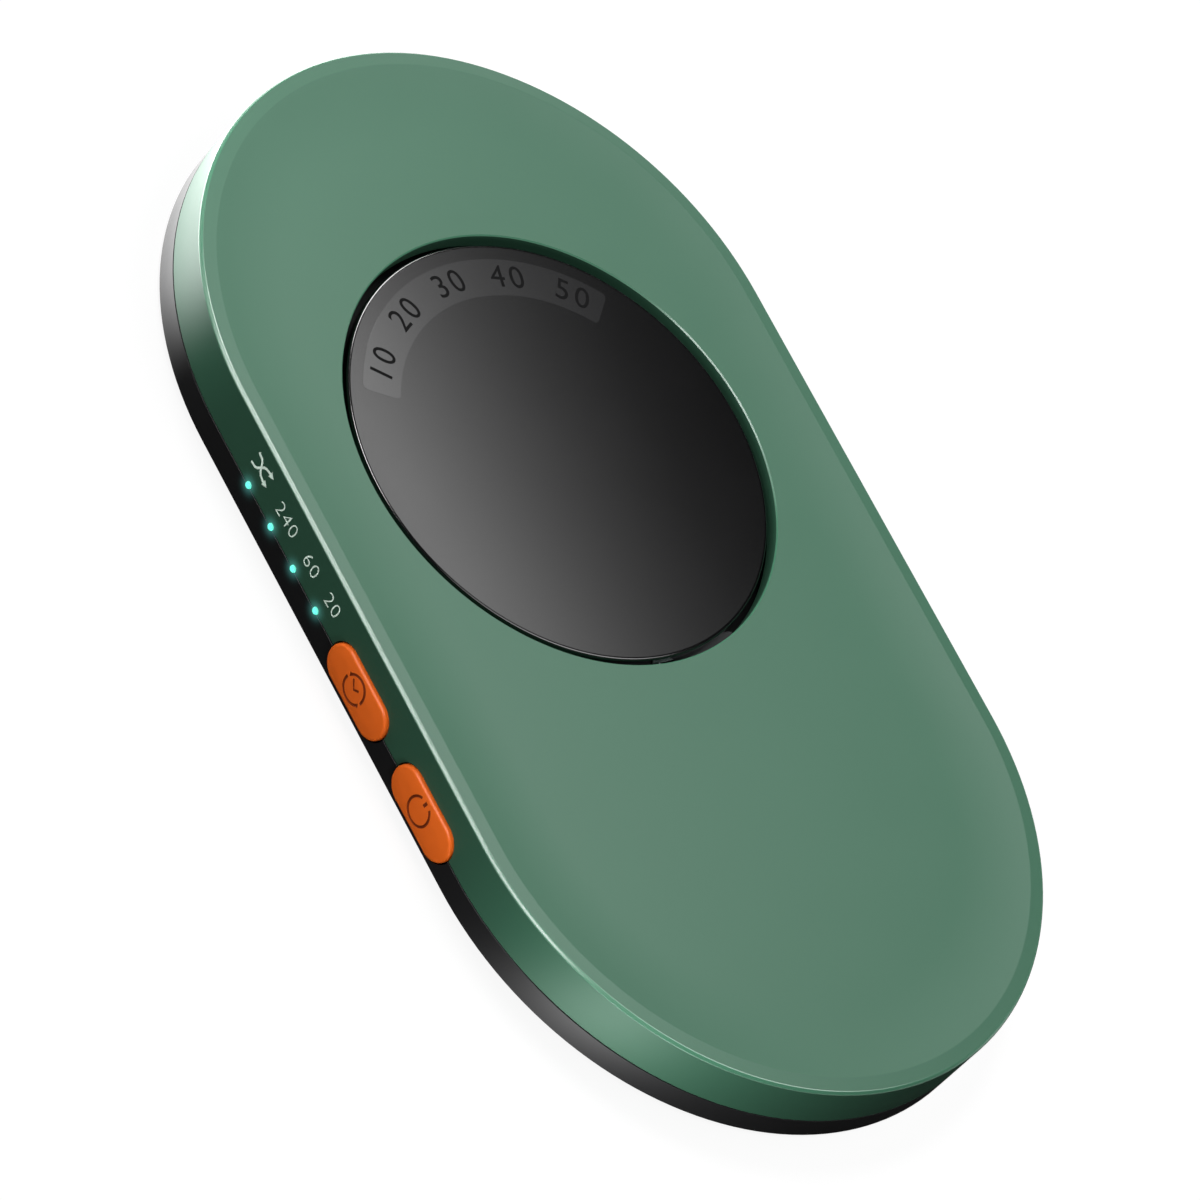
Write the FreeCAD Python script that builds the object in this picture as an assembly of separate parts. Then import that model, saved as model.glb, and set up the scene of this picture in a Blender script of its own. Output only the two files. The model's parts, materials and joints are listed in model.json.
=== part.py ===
import FreeCAD, Part
import math
import os

from FreeCAD import Vector

# A slim desk gadget that keeps a computer mouse awake. A dark turntable sits in a well in the
# deck of a long rounded case and turns slowly under the mouse's sensor. A flat motor drives it
# through one compound idler. Two side buttons and four lamps stand on the left wall.
#
# Millimetres. +Z is up and z = 0 is the desk. +Y runs from the user to the turntable's end,
# and -X is the wall with the buttons. The origin is under the middle of the case.

# Case
body_length = 139.0
body_width = 80.0
foot_stand = 0.6  # gap between the desk and the base's underside
base_rise = 3.25  # height of the base's side wall
base_chamfer = 0.1
floor_thick = 1.4
wall = 1.6
deck_thick = 1.6
edge_chamfer = 0.5  # bright edge round the top of the shell
rim_band = 2.0  # sloped band between the outline and the dish
rim_fall = 0.18
dish_run = 9.0  # width of the sloped side of the dish
dish_depth = 0.55
seam_groove = 0.15
lip_gap = 0.1
lip_thick = 0.8
lip_rise = 1.2
rib_thick = 1.0
rib_rise = 1.4
rib_towards_end = 6.0  # cross ribs, from the long rib towards the palm end
rib_towards_well = 9.0
blind_floor = 0.4  # left under a blind hole in the base
cut_past = 1.0  # how far a cut runs past the face that it opens

# Turntable and the stack of heights under it
well_margin = 25.5  # from the far end of the case to the well
well_radius = 28.7
well_chamfer = 0.25
floor_rib_count = 6
floor_rib_rise = 1.0
floor_rib_reach = 12.0  # from the turntable's axis
skirt_thick = 1.2
skirt_drop = 0.6
plate_gap = 0.9  # radial gap between the plate and the well
plate_thick = 1.2
plate_round = 0.5
plate_drop = 0.55  # the plate's top below the deck
tape_thick = 0.1
tape_inner_radius = 16.0
tape_inset = 0.5
flange_radius = 24.0
flange_thick = 0.7
hub_radius = 8.0
collar_radius = 5.5
collar_fit = 0.05
collar_dip = 0.15  # the collar's top below the flange's underside
post_radius = 3.5
post_rise = 1.8
washer_thick = 0.35
washer_inset = 0.2
run_gap = 0.05  # axial play over a washer
gear_gap = 0.3  # height between gears that pass over each other
spindle_radius = 1.5
spindle_tip = 0.25  # clearance between the spindle's end and the plate
bush_radius = 2.5
running_clearance = 0.02
clip_thick = 0.3
clip_play = 0.1
clip_groove = 0.4
clip_radius = 3.2
pocket_radius = 4.5  # room for the spindle's clip in the carrier
hub_screw_count = 3
hub_screw_circle = 6.75
hub_screw_head_radius = 1.25
hub_screw_head_rise = 0.7
hub_skin = 0.4  # left over the blind holes in the hub

# Gears
gear_module = 0.5
addendum = 0.4  # stub teeth
dedendum = 0.6
backlash = 0.1
pressure_angle = 20.0
ring_teeth = 96
pinion_teeth = 14
wheel_teeth = 48
driver_teeth = 16
ring_thick = 1.4
ring_rim = 2.4  # solid rim inside the ring gear's teeth
web_thick = 1.2
web_hole_radius = 3.4
web_hole_count = 6
wheel_thick = 1.15
shoulder_rise = 0.1
idler_pin_radius = 0.75
idler_post_radius = 2.2
idler_clip_radius = 1.7
pin_tip = 0.3  # pin left standing above its clip

# Motor
motor_radius = 10.0
motor_can_wall = 0.4
motor_plate_thick = 0.5
motor_ear_reach = 13.5
motor_ear_radius = 2.6
motor_shaft_radius = 0.75
motor_bearing_radius = 1.6
motor_bearing_rise = 0.6
motor_pinion_gap = 0.15
magnet_radius = 5.6
coil_inner_radius = 6.2
coil_gap = 0.1
shaft_tip = 0.2
motor_inside_gap = 0.3
shaft_end_play = 0.1
terminal_width = 4.0
terminal_length = 4.2
terminal_rise = 1.6
terminal_lift = 0.6
terminal_proud = 0.5
terminal_off_axis = 5.6
motor_lead_radius = 0.3
motor_lead_pitch = 0.95
motor_lead_count = 4

# Screws
screw_radius = 0.8
screw_head_radius = 1.6
screw_head_rise = 1.0
screw_post_radius = 2.4
screw_tip_gap = 0.3
motor_hole_fit = 0.1
motor_pilot_floor = 0.5
board_hole_fit = 0.15
case_screw_radius = 1.0
case_screw_head_radius = 1.9
case_screw_clearance = 0.2
case_screw_head_rise = 1.0
case_screw_inset = 6.4  # screw centre from the outer wall
case_screw_angle = 46.8  # degrees round each end from the X axis
case_post_radius = 3.4
case_boss_radius = 2.75
case_boss_gap = 0.15
screw_bite = 3.6  # thread inside the shell's boss
socket_radius = 0.5  # driver recess in every screw head
socket_depth = 0.5

# Feet
foot_radius = 5.0
foot_recess = 0.4
foot_fit = 0.1
foot_round = 0.25
foot_screw_gap = 0.2  # between a foot and the screw head above it

# Buttons and switches
button_length = 12.0
button_height = 5.2
cap_above_seam = 0.15  # middle of the button's cap above the seam
button_above_seam = 1.2  # the button's ears, nub and switch, above the seam
button_proud = 0.6
button_round = 0.5
button_gap = 0.22
button_travel = 0.5
interval_button_y = -5.8
button_pitch = 15.8
ear_length = 1.3
ear_height = 4.0
ear_thick = 0.8
ear_gap = 0.1
nub_radius = 1.6
nub_rise = 0.4
plunger_radius = 1.0
plunger_reach = 1.0
plunger_depth = 1.5
plunger_fit = 0.1
plunger_end_gap = 0.2  # left in the well when the plunger is pressed home
switch_height = 3.3
switch_width = 6.0
switch_depth = 3.2
pocket_clear = 0.5  # room round the moving ears
travel_gap = 0.1  # room past the end of the travel

# Lamps
lamp_count = 4
lamp_pitch = 5.54
first_lamp_from_button = 10.6
lamp_height = 1.3
lamp_width = 1.6
lamp_depth = 1.3
lamp_dome = 0.2
guide_radius = 0.45
guide_fit = 0.06
guide_proud = 0.05
guide_bar_depth = 1.0
guide_bar_height = 1.1
guide_bar_gap = 0.1

# Boards
board_thick = 1.0
board_strip = 7.0
board_margin = 6.0
board_clear = 0.5
board_foot_above = 13.0
board_foot_below = 14.0
board_motor_gap = 1.4
board_screw_edge = 2.4  # screw centre from a board's edge
socket_edge = 0.6  # socket from a board's edge
usb_board_width = 16.0
usb_board_length = 13.0
chip_width = 5.0
chip_length = 6.4
chip_rise = 1.2
chip_leg_count = 8
chip_leg_width = 0.35
chip_leg_reach = 0.8
chip_leg_thick = 0.25
chip_from_edge = 8.5
chip_past_motor = 1.0
capacitor_radius = 1.9
capacitor_length = 5.4
capacitor_lift = 0.1
capacitor_saddle = 1.2
capacitor_from_edge = 10.4
capacitor_from_motor = 9.0
socket_width = 3.4
socket_length = 3.6
socket_height = 2.6
motor_socket_length = 5.0

# Inlet
usb_width = 8.94
usb_height = 3.16
usb_length = 7.35
usb_wall = 0.3
usb_sink = 0.4
usb_gap = 0.22
usb_back = 0.6
tongue_width = 6.6
tongue_thick = 0.7
tongue_length = 4.6

# Power leads, from the inlet's board round the turntable to the main board
lead_count = 2
lead_end_inset = 2.8  # leads' middle line from the board strip's edge
lead_bend_share = 0.45  # share of the shorter run that each bend takes
lead_radius = 0.5
lead_pitch = 1.3
clip_block_length = 3.4
clip_block_width = 4.6
clip_block_rise = 1.6
clip_block_fit = 0.12

# Sizes and heights that follow from the values above
end_radius = body_width / 2
end_offset = body_length / 2 - end_radius
base_z = foot_stand
floor_z = base_z + floor_thick
seam_z = base_z + base_rise
post_z = floor_z + post_rise
ring_z = post_z + washer_thick + run_gap
ring_top = ring_z + ring_thick
wheel_z = ring_top + gear_gap
wheel_top = wheel_z + wheel_thick
flange_z = wheel_top + gear_gap
flange_top = flange_z + flange_thick
plate_z = flange_top + tape_thick
plate_top = plate_z + plate_thick
deck_z = plate_top + plate_drop
rim_z = deck_z + dish_depth
ceiling_z = deck_z - deck_thick
collar_top = flange_z - collar_dip

table_y = body_length / 2 - well_margin - well_radius
plate_radius = well_radius - plate_gap
ring_radius = gear_module * ring_teeth / 2
pinion_radius = gear_module * pinion_teeth / 2
wheel_radius = gear_module * wheel_teeth / 2
driver_radius = gear_module * driver_teeth / 2
idler_y = table_y - ring_radius - pinion_radius
motor_y = idler_y - wheel_radius - driver_radius
motor_lead_y = motor_y - terminal_off_axis
motor_top = ring_top - motor_plate_thick
can_floor_z = floor_z + motor_can_wall
driver_z = ring_top + motor_pinion_gap

wall_in_x = -(end_radius - wall)
ear_x = wall_in_x + ear_gap
ear_end_x = ear_x + ear_thick
nub_x = ear_end_x + nub_rise
switch_x = nub_x + plunger_reach
pocket_x = ear_end_x + button_travel + travel_gap
board_edge_x = ear_end_x + button_travel + board_clear
board_inset = end_radius + board_edge_x
button_z = seam_z + button_above_seam
cap_z = seam_z + cap_above_seam
board_top = button_z - switch_height / 2
board_z = board_top - board_thick
lamp_z = board_top + lamp_height / 2
lamp_x = switch_x
button_ys = [interval_button_y, interval_button_y - button_pitch]
lamp_ys = [interval_button_y + first_lamp_from_button + i * lamp_pitch for i in range(lamp_count)]
usb_mouth_y = body_length / 2 - usb_sink
usb_z = board_top + usb_height / 2
usb_board_y = body_length / 2 - board_inset - usb_board_length
board_foot_x = -(motor_ear_reach + motor_ear_radius + board_motor_gap)
strip_x = board_edge_x + board_strip
strip_y = [button_ys[-1] - button_length / 2 - board_margin, lamp_ys[-1] + board_margin]
lead_end_x = strip_x - lead_end_inset
case_screw_places = [
    (
        side * (end_radius - case_screw_inset) * math.cos(math.radians(case_screw_angle)),
        end * (end_offset + (end_radius - case_screw_inset) * math.sin(math.radians(case_screw_angle))),
    )
    for end in (1, -1)
    for side in (-1, 1)
]
board_screw_places = [
    (strip_x - board_screw_edge, lamp_ys[1] + lamp_pitch / 2),
    (strip_x - board_screw_edge, strip_y[0] + board_margin / 2),
    (board_foot_x - board_screw_edge, motor_y + board_foot_above - board_screw_edge),
    (-usb_board_width / 2 + board_screw_edge, usb_board_y + board_screw_edge),
    (usb_board_width / 2 - board_screw_edge, usb_board_y + board_screw_edge),
]
motor_screw_places = [(-motor_ear_reach, motor_y), (motor_ear_reach, motor_y)]
case_head_z = base_z + foot_recess + foot_screw_gap + case_screw_head_rise
motor_point_z = floor_z + motor_pilot_floor
board_point_z = base_z + blind_floor
hub_point_z = flange_z - hub_skin


def block(x0, x1, y0, y1, z0, z1):
    """A box between two corners."""
    return Part.makeBox(x1 - x0, y1 - y0, z1 - z0, Vector(x0, y0, z0))


def disc(x, y, radius, z0, z1):
    """An upright cylinder."""
    return Part.makeCylinder(radius, z1 - z0, Vector(x, y, z0))


def ring(x, y, outer, inner, z0, z1):
    """An upright tube."""
    return disc(x, y, outer, z0, z1).cut(disc(x, y, inner, z0, z1))


def joined(first, *others):
    """One solid from several that touch or overlap."""
    return first.fuse(list(others)).removeSplitter()


def outline(inset, z0, z1):
    """A prism on the case's outline, moved inwards by inset."""
    radius = end_radius - inset
    wire = Part.Wire([
        Part.LineSegment(Vector(radius, -end_offset, z0), Vector(radius, end_offset, z0)).toShape(),
        Part.Arc(
            Vector(radius, end_offset, z0),
            Vector(0, end_offset + radius, z0),
            Vector(-radius, end_offset, z0),
        ).toShape(),
        Part.LineSegment(Vector(-radius, end_offset, z0), Vector(-radius, -end_offset, z0)).toShape(),
        Part.Arc(
            Vector(-radius, -end_offset, z0),
            Vector(0, -end_offset - radius, z0),
            Vector(radius, -end_offset, z0),
        ).toShape(),
    ])
    return Part.Face(wire).extrude(Vector(0, 0, z1 - z0))


def carried_round(edges):
    """Carries half a section, drawn in the XZ plane from the Z axis, round the case's outline."""
    half = Part.Face(Part.Wire(edges))
    up = Vector(0, 0, 1)
    far_end = half.revolve(Vector(0, 0, 0), up, 180)
    far_end.translate(Vector(0, end_offset, 0))
    near_end = half.revolve(Vector(0, 0, 0), up, -180)
    near_end.translate(Vector(0, -end_offset, 0))
    half.translate(Vector(0, -end_offset, 0))
    right = half.extrude(Vector(0, 2 * end_offset, 0))
    left = right.mirror(Vector(0, 0, 0), Vector(1, 0, 0))
    return joined(right, left, far_end, near_end)


def section_lines(points):
    """Straight edges between (radius, height) points of a section."""
    corners = [Vector(r, 0, z) for r, z in points]
    return [Part.LineSegment(a, b).toShape() for a, b in zip(corners, corners[1:])]


def long_hole(y, z, length, height, x0, x1):
    """A prism along X with a rounded-ended section that is long in Y."""
    radius = height / 2
    reach = length / 2 - radius
    wire = Part.Wire([
        Part.LineSegment(Vector(x0, y - reach, z + radius), Vector(x0, y + reach, z + radius)).toShape(),
        Part.Arc(
            Vector(x0, y + reach, z + radius),
            Vector(x0, y + length / 2, z),
            Vector(x0, y + reach, z - radius),
        ).toShape(),
        Part.LineSegment(Vector(x0, y + reach, z - radius), Vector(x0, y - reach, z - radius)).toShape(),
        Part.Arc(
            Vector(x0, y - reach, z - radius),
            Vector(x0, y - length / 2, z),
            Vector(x0, y - reach, z + radius),
        ).toShape(),
    ])
    return Part.Face(wire).extrude(Vector(x1 - x0, 0, 0))


def inlet_prism(width, height, y0, y1):
    """A prism along Y with the rounded section of the power inlet."""
    shape = long_hole(0, usb_z, width, height, y0, y1)
    shape.rotate(Vector(0, 0, 0), Vector(0, 0, 1), 90)
    return shape


def involute_angle(base_radius, radius):
    """Angle that an involute has turned through by the time it reaches a radius."""
    pressure = math.acos(min(1.0, base_radius / radius))
    return math.tan(pressure) - pressure


def gear_prism(teeth, tooth_at, z0, z1):
    """A spur gear about the Z axis, with the middle of one tooth at the angle tooth_at."""
    pitch = gear_module * teeth / 2
    tip = pitch + addendum
    root = pitch - dedendum
    base_radius = pitch * math.cos(math.radians(pressure_angle))
    start = max(base_radius, root)
    half_tooth = (math.pi * gear_module - backlash) / 4 / pitch + involute_angle(base_radius, pitch)

    def flank(radius, side, middle):
        angle = middle + side * (half_tooth - involute_angle(base_radius, radius))
        return Vector(radius * math.cos(angle), radius * math.sin(angle), z0)

    def on_root(side, middle):
        angle = middle + side * (half_tooth - involute_angle(base_radius, start))
        return Vector(root * math.cos(angle), root * math.sin(angle), z0)

    edges = []
    step = 2 * math.pi / teeth
    for i in range(teeth):
        middle = math.radians(tooth_at) + i * step
        half_way = (start + tip) / 2
        if start > root:
            edges.append(Part.LineSegment(on_root(-1, middle), flank(start, -1, middle)).toShape())
        edges.append(
            Part.Arc(flank(start, -1, middle), flank(half_way, -1, middle), flank(tip, -1, middle)).toShape()
        )
        crown = Vector(tip * math.cos(middle), tip * math.sin(middle), z0)
        edges.append(Part.Arc(flank(tip, -1, middle), crown, flank(tip, 1, middle)).toShape())
        edges.append(
            Part.Arc(flank(tip, 1, middle), flank(half_way, 1, middle), flank(start, 1, middle)).toShape()
        )
        if start > root:
            edges.append(Part.LineSegment(flank(start, 1, middle), on_root(1, middle)).toShape())
        valley_angle = middle + step / 2
        valley = Vector(root * math.cos(valley_angle), root * math.sin(valley_angle), z0)
        edges.append(Part.Arc(on_root(1, middle), valley, on_root(-1, middle + step)).toShape())
    return Part.Face(Part.Wire(edges)).extrude(Vector(0, 0, z1 - z0))


def moved(shape, x, y):
    """The shape, carried across in X and Y."""
    shape.translate(Vector(x, y, 0))
    return shape


def screw(x, y, head_z, point_z, shank_radius, head_radius, head_rise):
    """A screw whose head's underside is at head_z and whose point is at point_z, above or below."""
    up = 1 if head_z > point_z else -1
    shank = disc(x, y, shank_radius, min(head_z, point_z), max(head_z, point_z))
    crown_z = head_z + up * head_rise
    head = disc(x, y, head_radius, min(head_z, crown_z), max(head_z, crown_z))
    floor_of_socket = crown_z - up * socket_depth
    socket = disc(x, y, socket_radius, min(crown_z, floor_of_socket), max(crown_z, floor_of_socket))
    return joined(shank, head).cut(socket)


def route(points):
    """Straight runs joined by tangent arcs that are as large as the runs allow."""
    edges = []
    radii = []
    here = points[0]
    for before, corner, after in zip(points, points[1:], points[2:]):
        back = (before - corner).normalize()
        ahead = (after - corner).normalize()
        turn = math.pi - back.getAngle(ahead)
        reach = lead_bend_share * min((corner - before).Length, (after - corner).Length)
        radius = reach / math.tan(turn / 2)
        radii.append(radius)
        into = corner + back * reach
        out = corner + ahead * reach
        towards = (back + ahead).normalize()
        middle = corner + towards * (math.hypot(radius, reach) - radius)
        edges.append(Part.LineSegment(here, into).toShape())
        edges.append(Part.Arc(into, middle, out).toShape())
        here = out
    edges.append(Part.LineSegment(here, points[-1]).toShape())
    return Part.Wire(edges), radii


def tube(points, radius):
    """A round lead along a route."""
    path, radii = route(points)
    circle = Part.Wire([Part.Circle(points[0], points[1] - points[0], radius).toShape()])
    solid = path.makePipeShell([circle], True, True)
    share = solid.Volume / (math.pi * radius**2 * path.Length)
    print("lead length %.1f, radii %s, volume share %.4f" % (
        path.Length, [round(r, 1) for r in radii], share))
    return solid


def beside(points, gap):
    """The same route, moved sideways in plan by gap, with its end runs kept parallel."""
    spans = list(zip(points, points[2:]))
    spans = [points[:2], points[:2]] + spans[1:-1] + [points[-2:], points[-2:]]
    shifted = []
    for point, (behind, ahead) in zip(points, spans):
        along = ahead - behind
        side = Vector(-along.y, along.x, 0).normalize()
        shifted.append(point + side * gap)
    return shifted


# Routes of the leads. The power leads leave one socket towards -X and enter the other towards -Y.
power_lead_points = [
    Vector(-5.2, usb_board_y + 6.4, board_top + 1.2),
    Vector(-9.4, usb_board_y + 6.4, board_top + 1.2),
    Vector(-14.6, usb_board_y + 3.4, floor_z + 0.75),
    Vector(-20.6, usb_board_y - 2.6, floor_z + 0.62),
    Vector(-26.0, usb_board_y - 10.6, floor_z + 0.7),
    Vector(-30.4, usb_board_y - 19.0, floor_z + 0.75),
    Vector(lead_end_x, lamp_ys[-1] + 10.2, board_top + 1.2),
    Vector(lead_end_x, lamp_ys[-1] + 5.4, board_top + 1.2),
]


def motor_lead_points(y):
    """One motor lead, from the motor's terminal block to the socket on the board."""
    start = -(motor_radius + terminal_proud)
    end = board_foot_x - socket_edge
    return [
        Vector(start, y, floor_z + 1.4),
        Vector(start - 2.2, y, floor_z + 1.4),
        Vector(start - 4.4, y, floor_z + 2.6),
        Vector(end, y, floor_z + 2.6),
    ]


def wall_cuts():
    """What is cut through the walls of both the shell and the base: buttons, lamps and inlet."""
    outside = -(end_radius + cut_past)
    inside = end_radius - wall - lip_gap - lip_thick - cut_past
    cuts = []
    for y in button_ys:
        cuts.append(long_hole(
            y, cap_z, button_length + 2 * button_gap, button_height + 2 * button_gap, outside, pocket_x
        ))
    for y in lamp_ys:
        cuts.append(Part.makeCylinder(
            guide_radius + guide_fit, -inside - outside, Vector(outside, y, lamp_z), Vector(1, 0, 0)
        ))
    cuts.append(inlet_prism(
        usb_width + 2 * usb_gap, usb_height + 2 * usb_gap, end_offset + inside, body_length / 2 + cut_past
    ))
    return cuts


def make_top_shell():
    edge_z = rim_z - rim_fall - edge_chamfer
    shell = carried_round(section_lines([
        (0, seam_z),
        (end_radius - seam_groove, seam_z),
        (end_radius, seam_z + seam_groove),
        (end_radius, edge_z),
        (end_radius - edge_chamfer, edge_z + edge_chamfer),
        (end_radius - rim_band, rim_z),
        (0, rim_z),
        (0, seam_z),
    ]))
    shell = shell.cut(make_dish())
    shell = shell.cut(outline(wall, seam_z - cut_past, ceiling_z))
    extras = []
    for x, y in case_screw_places:
        extras.append(disc(x, y, case_boss_radius, seam_z + case_boss_gap, ceiling_z))
    extras.append(disc(0, table_y, well_radius + skirt_thick, ceiling_z - skirt_drop, ceiling_z))
    # ribs under the palm end, tied into the two screw bosses there
    rib_ends = [place for place in case_screw_places if place[1] < 0]
    rib_half = abs(rib_ends[0][0])
    rib_y = rib_ends[0][1]
    extras.append(block(
        -rib_half, rib_half, rib_y - rib_thick / 2, rib_y + rib_thick / 2, ceiling_z - rib_rise, ceiling_z
    ))
    for x in (-rib_half / 2, 0, rib_half / 2):
        extras.append(block(
            x - rib_thick / 2, x + rib_thick / 2, rib_y - rib_towards_end, rib_y + rib_towards_well,
            ceiling_z - rib_rise, ceiling_z,
        ))
    shell = joined(shell, *extras)
    cuts = wall_cuts()
    cuts.append(disc(0, table_y, well_radius, 0, rim_z))
    cuts.append(Part.makeCone(
        well_radius, well_radius + 2 * well_chamfer, 2 * well_chamfer,
        Vector(0, table_y, deck_z - well_chamfer),
    ))
    for x, y in case_screw_places:
        cuts.append(disc(x, y, case_screw_radius, 0, seam_z + case_boss_gap + screw_bite))
    return shell.cut(cuts)


def make_dish():
    """The shallow bowl in the deck: a flat floor and sides that curve up to the rim."""
    rim_radius = end_radius - rim_band
    flat_radius = rim_radius - dish_run
    curve_radius = (dish_run**2 + dish_depth**2) / (2 * dish_depth)
    half_turn = math.asin(dish_run / curve_radius) / 2
    on_curve = Vector(
        flat_radius + curve_radius * math.sin(half_turn),
        0,
        deck_z + curve_radius * (1 - math.cos(half_turn)),
    )
    above = rim_z + cut_past
    edges = section_lines([(0, above), (0, deck_z), (flat_radius, deck_z)])
    edges.append(Part.Arc(Vector(flat_radius, 0, deck_z), on_curve, Vector(rim_radius, 0, rim_z)).toShape())
    edges += section_lines([(rim_radius, rim_z), (rim_radius, above), (0, above)])
    return carried_round(edges)


def make_base_tray():
    base = carried_round(section_lines([
        (0, base_z),
        (end_radius - base_chamfer, base_z),
        (end_radius, base_z + base_chamfer),
        (end_radius, seam_z - seam_groove),
        (end_radius - seam_groove, seam_z),
        (0, seam_z),
        (0, base_z),
    ]))
    lip_out = wall + lip_gap
    base = joined(base, outline(lip_out, seam_z, seam_z + lip_rise))
    base = base.cut(outline(lip_out + lip_thick, floor_z, seam_z + lip_rise))
    extras = [disc(0, table_y, post_radius, floor_z, post_z)]
    extras.append(disc(0, idler_y, idler_post_radius, floor_z, ring_z - shoulder_rise - run_gap))
    for i in range(floor_rib_count):
        rib = block(0, floor_rib_reach, -rib_thick / 2, rib_thick / 2, floor_z, floor_z + floor_rib_rise)
        rib.rotate(Vector(0, 0, 0), Vector(0, 0, 1), 360 / floor_rib_count * i)
        extras.append(moved(rib, 0, table_y))
    for x, y in case_screw_places:
        extras.append(disc(x, y, case_post_radius, floor_z, seam_z))
    for x, y in motor_screw_places:
        extras.append(disc(x, y, screw_post_radius, floor_z, motor_top))
    for x, y in board_screw_places:
        extras.append(disc(x, y, screw_post_radius, floor_z, board_z))
    for start, finish in ((2, 3), (4, 5)):
        extras.append(make_lead_clip(power_lead_points[start], power_lead_points[finish]))
    base = joined(base, *extras)
    cuts = wall_cuts()
    for y in button_ys:
        half = button_length / 2 + ear_length + pocket_clear
        cuts.append(block(wall_in_x, pocket_x, y - half, y + half, floor_z, seam_z + lip_rise))
    cuts.append(disc(0, table_y, spindle_radius, base_z + blind_floor, post_z))
    cuts.append(disc(0, idler_y, idler_pin_radius, base_z + blind_floor, ring_z))
    for x, y in case_screw_places:
        cuts.append(disc(x, y, foot_radius + foot_fit, 0, base_z + foot_recess))
        cuts.append(disc(x, y, case_screw_head_radius + case_screw_clearance, 0, case_head_z))
        cuts.append(disc(x, y, case_screw_radius + case_screw_clearance, 0, seam_z))
    for x, y in motor_screw_places:
        cuts.append(disc(x, y, screw_radius, motor_point_z, motor_top))
    for x, y in board_screw_places:
        cuts.append(disc(x, y, screw_radius, board_point_z, board_z))
    for gap in lead_gaps():
        cuts.append(tube(beside(power_lead_points, gap), lead_radius + clip_block_fit))
    return base.cut(cuts)


def make_lead_clip(start, finish):
    """A low block on the floor, across the leads, between two points of their route."""
    middle = (start + finish) / 2
    angle = math.degrees(math.atan2(finish.y - start.y, finish.x - start.x))
    clip = block(
        -clip_block_length / 2, clip_block_length / 2,
        -clip_block_width / 2, clip_block_width / 2,
        floor_z, floor_z + clip_block_rise,
    )
    clip.rotate(Vector(0, 0, 0), Vector(0, 0, 1), angle)
    return moved(clip, middle.x, middle.y)


def make_plate():
    plate = disc(0, table_y, plate_radius, plate_z, plate_top)
    rim = [e for e in plate.Edges if abs(e.BoundBox.ZMin - plate_top) < 1e-6 and e.Length > plate_radius]
    return plate.makeFillet(plate_round, rim)


def make_carrier():
    flange = disc(0, table_y, flange_radius, flange_z, flange_top)
    hub = disc(0, table_y, hub_radius, ring_z + web_thick, flange_z)
    carrier = joined(flange, hub)
    cuts = [
        disc(0, table_y, collar_radius + collar_fit, 0, flange_z),
        disc(0, table_y, pocket_radius, 0, flange_top),
    ]
    for x, y in hub_screw_places():
        cuts.append(disc(x, y, screw_radius, 0, hub_point_z))
    return carrier.cut(cuts)


def hub_screw_places():
    """Centres of the screws that hold the ring gear to the carrier."""
    places = []
    for i in range(hub_screw_count):
        angle = 2 * math.pi * i / hub_screw_count + math.pi / 2
        places.append((hub_screw_circle * math.cos(angle), table_y + hub_screw_circle * math.sin(angle)))
    return places


def make_ring_gear():
    gear = moved(gear_prism(ring_teeth, -90, ring_z, ring_top), 0, table_y)
    inside = ring_radius - dedendum - ring_rim
    gear = gear.cut(disc(0, table_y, inside, ring_z + web_thick, ring_top))
    gear = joined(gear, disc(0, table_y, collar_radius, ring_z, collar_top))
    cuts = [disc(0, table_y, bush_radius, ring_z, collar_top)]
    middle = (hub_radius + inside) / 2
    for i in range(web_hole_count):
        angle = 2 * math.pi * i / web_hole_count
        cuts.append(disc(
            middle * math.cos(angle), table_y + middle * math.sin(angle), web_hole_radius, ring_z, ring_top
        ))
    for x, y in hub_screw_places():
        cuts.append(disc(x, y, screw_radius, 0, ring_top))
    return gear.cut(cuts)


def make_spindle():
    spindle = disc(0, table_y, spindle_radius, base_z + blind_floor, plate_z - spindle_tip)
    groove = ring(
        0, table_y, 2 * spindle_radius, spindle_radius - clip_groove,
        collar_top + clip_play, collar_top + clip_play + clip_thick,
    )
    return spindle.cut(groove)


def make_spindle_clip():
    """A spring clip with an open mouth, snapped into the spindle's groove."""
    z0 = collar_top + clip_play
    clip = ring(0, table_y, clip_radius, spindle_radius - clip_groove, z0, z0 + clip_thick)
    mouth = block(
        -(spindle_radius - clip_groove), spindle_radius - clip_groove,
        table_y - clip_radius, table_y, z0, z0 + clip_thick,
    )
    return clip.cut(mouth)


def make_idler():
    pinion = moved(gear_prism(pinion_teeth, 90 + 180 / pinion_teeth, ring_z, ring_top), 0, idler_y)
    wheel = moved(gear_prism(wheel_teeth, -90, wheel_z, wheel_top), 0, idler_y)
    neck = disc(0, idler_y, pinion_radius - dedendum, ring_z - shoulder_rise, wheel_z)
    idler = joined(pinion, neck, wheel)
    return idler.cut(disc(0, idler_y, idler_pin_radius + running_clearance, 0, rim_z))


def make_idler_pin():
    top = wheel_top + clip_play + clip_thick + pin_tip
    return disc(0, idler_y, idler_pin_radius, base_z + blind_floor, top)


def make_motor_can():
    """The motor's steel can, open at the top, with its terminal block on the left."""
    can = disc(0, motor_y, motor_radius, floor_z, motor_top)
    terminal = block(
        -(motor_radius + terminal_proud), -(motor_radius + terminal_proud) + terminal_length,
        motor_lead_y - terminal_width / 2, motor_lead_y + terminal_width / 2,
        floor_z + terminal_lift, floor_z + terminal_lift + terminal_rise,
    )
    can = joined(can, terminal)
    inside = disc(0, motor_y, motor_radius - motor_can_wall, can_floor_z, motor_top)
    return can.cut(inside)


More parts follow.
